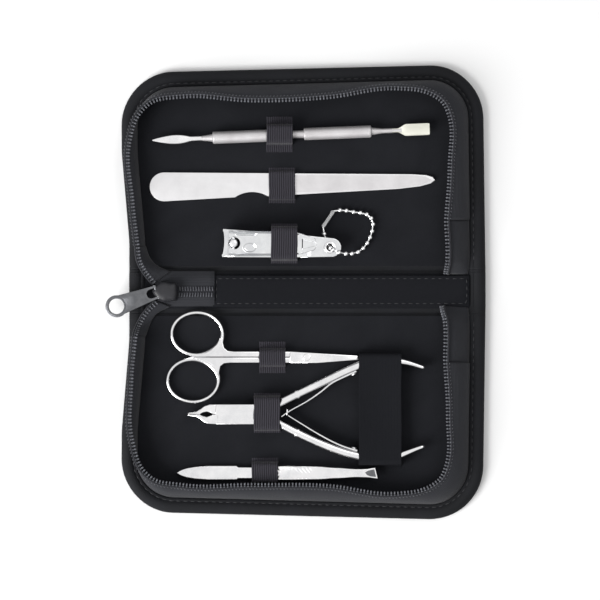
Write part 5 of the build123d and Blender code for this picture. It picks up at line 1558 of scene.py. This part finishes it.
def punch(bm, at, radius):  # opens a round hole in a sheet and draws its rim onto the circle
    centre = Vector((at[0] * mm, at[1] * mm, 0))

    def away(place):
        return (Vector((place.x, place.y, 0)) - centre).length

    inside = [f for f in bm.faces if away(f.calc_center_median()) < radius * mm]
    bmesh.ops.delete(bm, geom=inside, context="FACES")
    for vert in bm.verts:
        gap = away(vert.co)
        if vert.is_boundary and gap < 1.4 * radius * mm:
            vert.co.x = centre.x + (vert.co.x - centre.x) * radius * mm / gap
            vert.co.y = centre.y + (vert.co.y - centre.y) * radius * mm / gap


def thicken(bm, thick, down):  # makes a sheet solid, away from the side it shows
    bmesh.ops.recalc_face_normals(bm, faces=bm.faces)
    if sum(f.normal.z * f.calc_area() for f in bm.faces) * down < 0:
        bmesh.ops.reverse_faces(bm, faces=bm.faces)
    bmesh.ops.solidify(bm, geom=bm.faces[:], thickness=thick * mm)


def makeArm(node, body, flip):
    shape = armShape
    first, last = shape["ends"]
    rows = []
    for k in range(shape["rows"] + 1):
        x = first + (last - first) * k / shape["rows"]
        half = armHalf(x)
        row = []
        for j in range(33):
            y = half * math.sin(math.pi * (j / 32 - 0.5))
            z = armUnder(x) + roundOff(half - abs(y), 0.3) * 0.7
            row.append(Vector((x + jawBow(x, y), y, 2 * shape["meet"] - z if flip else z)))
        rows.append(row)
    bm = loft(rows)
    punch(bm, (43.3, 0), 2.15)
    punch(bm, (0.3, 0), 2.75)
    thicken(bm, clipperShape["armT"], 1 if flip else -1)
    turnOnto(bm, clipperShape["at"], clipperShape["turn"])
    label = "clipperUpperArm" if flip else "clipperLowerArm"
    finishMesh(label, bm, looks["chrome"], body, replaces=[node], sharp=50)


def spun(profile, at, sides=40):  # a closed profile of radius and height, turned about an upright axis
    rows = []
    for k in range(sides + 1):
        angle = 2 * math.pi * k / sides
        rows.append([Vector((at[0] + r * math.cos(angle), at[1] + r * math.sin(angle), z)) for r, z in profile])
    return loft(rows, closed=True)


def turned(profile, at=(0, 0), sides=32):  # solid of revolution: a stack of level rings
    rows = []
    for r, z in profile:
        rows.append([Vector((at[0] + r * math.cos(a), at[1] + r * math.sin(a), z))
                     for a in angles(sides)])
    return loft(rows, closed=True, caps=True)


leverShape = {"ends": (-2.1, 37.3), "half": 5.3, "shoulder": (28.3, 5.1), "taper": (34.6, 3.3), "top": 13.0,
              "lip": 1.0, "ear": 1.9, "earLength": 6.0, "hole": 2.95, "thick": 0.8,
              "dimple": (7.3, -1.9, 3.3, 2.3, 0.55), "slit": (0.4, 11.0, 4.05), "raised": (30.9, 36.4, 2.3, 0.3)}


def leverHalf(x):
    tx, th = leverShape["taper"]
    end = th * math.sqrt(max(1 - ((x - tx) / (leverShape["ends"][1] - tx)) ** 2, 0.01))
    return taperedHalf(leverShape, x, "taper") or end


def leverTop(x, y, half):
    shape = leverShape
    edge = half - abs(y)
    ear = (shape["ear"] - shape["lip"]) * (1 - smooth(x / shape["earLength"]))
    lip = shape["lip"] * (1 - smooth((x - 24) / 8)) + ear
    z = shape["top"] + lip * (1 - smooth((edge - 0.25) / 0.6)) - 0.25 * (1 - smooth(edge / 0.3))
    z -= 0.35 * math.exp(-(y / 3.2) ** 2) * smooth((x - 11) / 4) * (1 - smooth((x - 24) / 5))
    dx, dy, rx, ry, deep = shape["dimple"]
    z -= deep * (1 - smooth((math.hypot((x - dx) / rx, (y - dy) / ry) - 0.62) / 0.4))
    start, end, at = shape["slit"]
    along = smooth((x - start) / 2.5) * (1 - smooth((x - end + 2.5) / 2.5))
    z -= 0.9 * math.exp(-((y - at) / 0.33) ** 4) * along
    start, end, wide, high = shape["raised"]
    reach = wide * (1 - 0.6 * (x - start) / (end - start))
    inside = min(x - start, end - x, reach - abs(y))
    return z + high * smooth((inside + 0.15) / 0.3)


def makeLever():
    shape = leverShape
    rows = []
    count = 150
    for k in range(count + 1):
        x = shape["ends"][0] + (shape["ends"][1] - shape["ends"][0]) * k / count
        half = leverHalf(x)
        rows.append([Vector((x, y, leverTop(x, y, half)))
                     for y in [half * math.sin(math.pi * 0.5 * (j / 24 - 1)) for j in range(49)]])
    bm = loft(rows)
    punch(bm, (1.0, 0.2), shape["hole"])
    thicken(bm, shape["thick"], 1)
    turnOnto(bm, clipperShape["at"], clipperShape["leverTurn"])
    finishMesh("clipperLever", bm, looks["chrome"], "lever", replaces=["clipper_lever"], sharp=50)


postShape = {"radius": 1.5, "head": [(1.5, 13.7), (1.85, 13.8), (1.85, 14.4), (1.6, 14.7), (0.9, 14.85)],
             "pin": (0.65, 5.2, 13.4)}


def makePost():
    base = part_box("clipper_post")[0][2] / mm
    bm = turned([(postShape["radius"], base)] + postShape["head"])
    radius, long, z = postShape["pin"]
    rod(bm, radius, long, Matrix.Translation((0, 0, z * mm)) @ Matrix.Rotation(math.pi / 2, 4, "X"), 16)
    turnOnto(bm, clipperShape["at"], clipperShape["leverTurn"])
    finishMesh("clipperPost", bm, looks["ground"], "post", replaces=["clipper_post"], sharp=40)


eyeletProfile = [(1.6, 5.85), (2.65, 5.8), (2.7, 6.0), (2.6, 6.2), (2.1, 6.25), (2.1, 9.0), (2.6, 9.0),
                 (2.72, 9.15), (2.6, 9.33), (2.2, 9.42), (1.8, 9.33), (1.6, 9.1)]


def makeClipper():
    makeArm("clipper_lower_arm", "clipper", False)
    makeArm("clipper_upper_arm", "clipper_jaw", True)
    makeLever()
    makePost()
    ring = spun(eyeletProfile, (43.3, 0))
    turnOnto(ring, clipperShape["at"], clipperShape["turn"])
    finishMesh("clipperEyelet", ring, looks["polished"], "clipper", replaces=["clipper_eyelet"], sharp=40)


makeClipper()
print("clipper made")

# tools: cuticle nipper

nipperShape = {
    "at": (-18.7, -55.4), "thick": 6.4, "lap": 3.15, "headR": 21.4, "headW": 4.5, "backR": 6.2, "pivot": 2.0,
    "jaw": [(-20.0, 0.06), (-22.4, 0.06), (-23.6, 0.75), (-25.2, 1.2), (-26.9, 0.85), (-28.4, 0.06),
            (-33.9, 0.06), (-33.7, 0.55), (-29.9, 1.15), (-28.2, 2.1), (-26.4, 3.55), (-24.2, 4.3),
            (-20.0, 4.5)],
    "handle": {upper: [(2.4, 2.3), (7.9, 5.2), (24.7, 13.3), (42.6, 21.6), (50.7, 24.2), (62.4, 23.7),
                       (73.2, 20.7)],
               lower: [(2.4, -2.1), (7.3, -4.3), (15.2, -8.3), (33.1, -16.0), (42.3, -18.6), (52.7, -20.3),
                       (73.0, -14.2)]},
    "spring": {upper: [(42.0, 19.3), (36.0, 16.5), (31.2, 14.1), (25.6, 9.7), (20.0, 5.9), (11.2, 0.9),
                       (8.4, -1.1)],
               lower: [(42.4, -16.3), (37.5, -14.9), (33.0, -13.1), (25.0, -8.9), (18.0, -4.7), (11.4, -0.6)]},
    "wide": 1.75, "high": 2.2, "springT": 0.45, "springH": 1.4, "rows": 180, "collar": (15.5, 0.45), "step": 0.6,
}


def levelRun(points, count, z):
    return resample(smoothRun([Vector((x, y, z)) for x, y in points]), count)


def makeNipperHalf(side):
    shape = nipperShape
    toward = -side
    own = shape["thick"] - shape["lap"] if side == upper else 0.0
    middle = shape["thick"] / 2
    path = levelRun(shape["handle"][side], shape["rows"] + 1, middle)
    rows = []
    for k, (at, heading) in enumerate(zip(path, headings(path))):
        share = k / shape["rows"]
        side2 = Vector((-heading.y, heading.x, 0))
        end = math.sqrt(max(1 - max(0, (share - 0.975) / 0.025) ** 2, 0.02))
        collarAt, collarHigh = shape["collar"]
        collar = collarHigh * math.exp(-((at.x - collarAt) / 0.4) ** 4)
        wide = shape["wide"] * (1.06 - 0.5 * smooth((share - 0.72) / 0.28)) * end + collar
        high = shape["high"] * end * (0.72 + 0.28 * smooth(share / 0.12))
        rows.append([at + side2 * wide * math.copysign(abs(math.cos(a)) ** 0.75, math.cos(a))
                     + up * high * math.copysign(abs(math.sin(a)) ** 0.75, math.sin(a))
                     for a in angles(24)])
    bm = loft(rows, closed=True, caps=True)
    top = shape["thick"] - (shape["step"] if side == lower else 0)
    jaw = plateMesh([(x, toward * y) for x, y in shape["jaw"]], [], 0.0, top)
    softenPlate(jaw, 0.35, 3)
    for vert in jaw.verts:
        taper = 1 - 0.5 * smooth((-22 * mm - vert.co.x) / (12 * mm))
        vert.co.z = middle * mm + (vert.co.z - middle * mm) * taper
    joinInto(bm, jaw)
    leftX = math.degrees(math.asin(shape["headW"] / shape["headR"]))
    backX = math.degrees(math.asin(shape["headW"] / shape["backR"]))
    outline = arcPoints((0, 0), shape["headR"], 180 - leftX, 180 + leftX, 16)
    outline += arcPoints((0, 0), shape["backR"], -backX, backX, 16)
    hole = arcPoints((0, 0), shape["pivot"] + 0.1, 0, 360, 24)[:-1]
    plate = plateMesh(outline, [hole], own, own + shape["lap"])
    softenPlate(plate, 0.3, 3)
    joinInto(bm, plate)
    turnOnto(bm, shape["at"], 0, restZ)
    name, node, body = (("nipperTopHalf", "nipper_top_half", "nipper") if side == upper else
                        ("nipperBottomHalf", "nipper_bottom_half", "nipper_lower"))
    finishMesh(name, bm, looks["polished"], body, replaces=[node], sharp=35)


def makeNipperSpring(side):
    shape = nipperShape
    count = 60
    path = levelRun(shape["spring"][side], count + 1, shape["thick"] / 2)
    section = ((1, -0.85), (1, 0.85), (0.6, 1), (-0.6, 1), (-1, 0.85), (-1, -0.85), (-0.6, -1), (0.6, -1))
    rows = []
    for k, (at, heading) in enumerate(zip(path, headings(path))):
        across = Vector((-heading.y, heading.x, 0))
        thick = shape["springT"] * (1 - 0.35 * k / count)
        high = shape["springH"] * (1 - 0.25 * k / count)
        rows.append([at + across * thick * c + up * high * s for c, s in section])
    bm = loft(rows, closed=True, caps=True)
    if side == upper:
        hook = bmesh.new()
        block(hook, (10.9, 0.9, 3.2), (0.6, 2.6, 3.4))
        bevelEdges(hook, hook.edges[:], 0.15, 2)
        joinInto(bm, hook)
    turnOnto(bm, shape["at"], 0, restZ)
    name = sideName[side]
    body = "nipper" if side == upper else "nipper_lower"
    finishMesh("nipper" + name.capitalize() + "Spring", bm, looks["polished"], body,
               replaces=["nipper_" + name + "_spring"], sharp=35)
    first, second = Vector(shape["spring"][side][0]), Vector(shape["spring"][side][1])
    along = (first - second).normalized()
    outwardDir = Vector((-along.y, along.x)) * side
    at = first - along * 1.6 - outwardDir * 0.5
    screw = turned([(0.65, -2.4), (0.65, 0.0), (1.3, 0.05), (1.25, 0.4), (0.8, 0.65), (0.3, 0.72)], sides=24)
    turn = Vector((-outwardDir.x, -outwardDir.y, 0)).to_track_quat("Z", "Y").to_matrix().to_4x4()
    place = Matrix.Translation(Vector((at.x, at.y, shape["thick"] / 2)) * mm) @ turn
    bmesh.ops.transform(screw, matrix=place, verts=screw.verts)
    turnOnto(screw, shape["at"], 0, restZ)
    finishMesh("nipper" + name.capitalize() + "Screw", screw, looks["ground"], body,
               replaces=["nipper_" + name + "_spring_screw"], sharp=35)


for side in (upper, lower):
    makeNipperHalf(side)
    makeNipperSpring(side)
pivot = turned([(2.0, 0.1), (2.0, 6.35), (1.8, 6.55), (1.2, 6.62)], sides=36)
turnOnto(pivot, nipperShape["at"], 0, restZ)
finishMesh("nipperPivot", pivot, looks["ground"], "nipper", replaces=["nipper_pivot"], sharp=40)
print("nipper made")

# tools: tweezers

tweezersShape = {
    "at": (-57.3, -81.9), "turn": 0.0, "thick": 1.0, "gap": 0.05, "rows": 400,
    "halves": [(0.05, 0.12), (1.0, 0.85), (2.5, 1.55), (4.5, 2.15), (8.0, 2.75), (14.0, 3.2), (26.7, 3.2),
               (27.3, 2.55), (37.0, 2.5), (47.5, 3.15), (63.0, 2.9), (72.0, 2.35), (80.5, 1.85), (85.0, 1.95),
               (89.6, 2.5)],
    "grip": (43.5, 64.0, 1.7, 0.16), "arch": (24.0, 58.0, 2.55, 89.8, 2.4), "slant": 0.24, "leaf": 26.9,
    "nip": 0.2, "nipAt": (84.0, 5.0), "tipShade": [(84.5, 0.3), (86.0, 1.2), (88.7, 1.75), (89.5, -1.7),
                                                 (87.0, -1.45), (85.4, -0.8)],
}


def tweezersHalf(x):
    knots = tweezersShape["halves"]
    for (x0, h0), (x1, h1) in zip(knots, knots[1:]):
        if x <= x1:
            share = (x - x0) / (x1 - x0)
            return h0 + (h1 - h0) * (smooth(share) if x0 > 20 else share)
    return knots[-1][1]


def archAt(x):  # rise of the sprung arm over its partner
    start, top, rise, end, tip = tweezersShape["arch"]
    if x < top:
        return rise * smooth((x - start) / (top - start))
    return rise + (tip - rise) * smooth((x - top) / (end - top))


def nipAt(x):  # how far the tip is nipped down toward its partner
    start, run = tweezersShape["nipAt"]
    return tweezersShape["nip"] * smooth((x - start) / run)


def makeTweezersArm(node, body, label, top):
    shape = tweezersShape
    first, last = shape["halves"][0][0], shape["halves"][-1][0]
    start, end, pitch, deep = shape["grip"]

    def slant(x, y):
        return -shape["slant"] * y * smooth((x - 84) / 4)

    def pressed(x, y):
        z = 0.12 * (1 - smooth((x - shape["leaf"]) / 0.5)) * (1 - (y / 3.3) ** 2)
        if start < x < end and abs(y) < 2.5:
            wave = (x + 0.9 * abs(y)) / pitch % 1
            z -= deep * math.exp(-((wave - 0.5) / 0.26) ** 2) * smooth((x - start) / 2) * smooth((end - x) / 5)
        return z

    rows = []
    for k in range(shape["rows"] + 1):
        share = k / shape["rows"]
        x = first + (last - first) * (share if share > 0.04 else share ** 1.5 / 0.04 ** 0.5)
        under = shape["thick"] + shape["gap"] + archAt(x) if top else 0.0
        crown = pressed if top else None
        rows.append(slabRow(x, tweezersHalf(x), under, shape["thick"], 0.35, 24 if top else 12, slant, crown))
    bm = loft(rows, closed=True, caps=True)
    if top:
        for vert in bm.verts:
            vert.co.z -= nipAt(vert.co.x / mm) * mm
    turnOnto(bm, shape["at"], shape["turn"], restZ)
    finishMesh(label, bm, looks["polished"], body, replaces=[node], sharp=50)


def makeTweezersTipShade():  # painted shade: a thin dark grey sheet laid on the top arm's tip, standing for the cross-hatched hollow behind the slanted tip
    shape = tweezersShape
    bm = plateMesh(shape["tipShade"], [], -0.05, 0.04)
    for vert in bm.verts:
        x = vert.co.x / mm
        vert.co.z += (2 * shape["thick"] + shape["gap"] + archAt(x) - nipAt(x)) * mm
    turnOnto(bm, shape["at"], shape["turn"], restZ)
    # painted shade: the pull's dark grey on a sheet over the tip, where the hollow is
    finishMesh("tweezersTipShade", bm, looks["pull"], "tweezers_top", sharp=40)


makeTweezersTipShade()
makeTweezersArm("tweezers_bottom_arm", "tweezers", "tweezersBottomArm", False)
makeTweezersArm("tweezers_top_arm", "tweezers_top", "tweezersTopArm", True)
print("tweezers made")
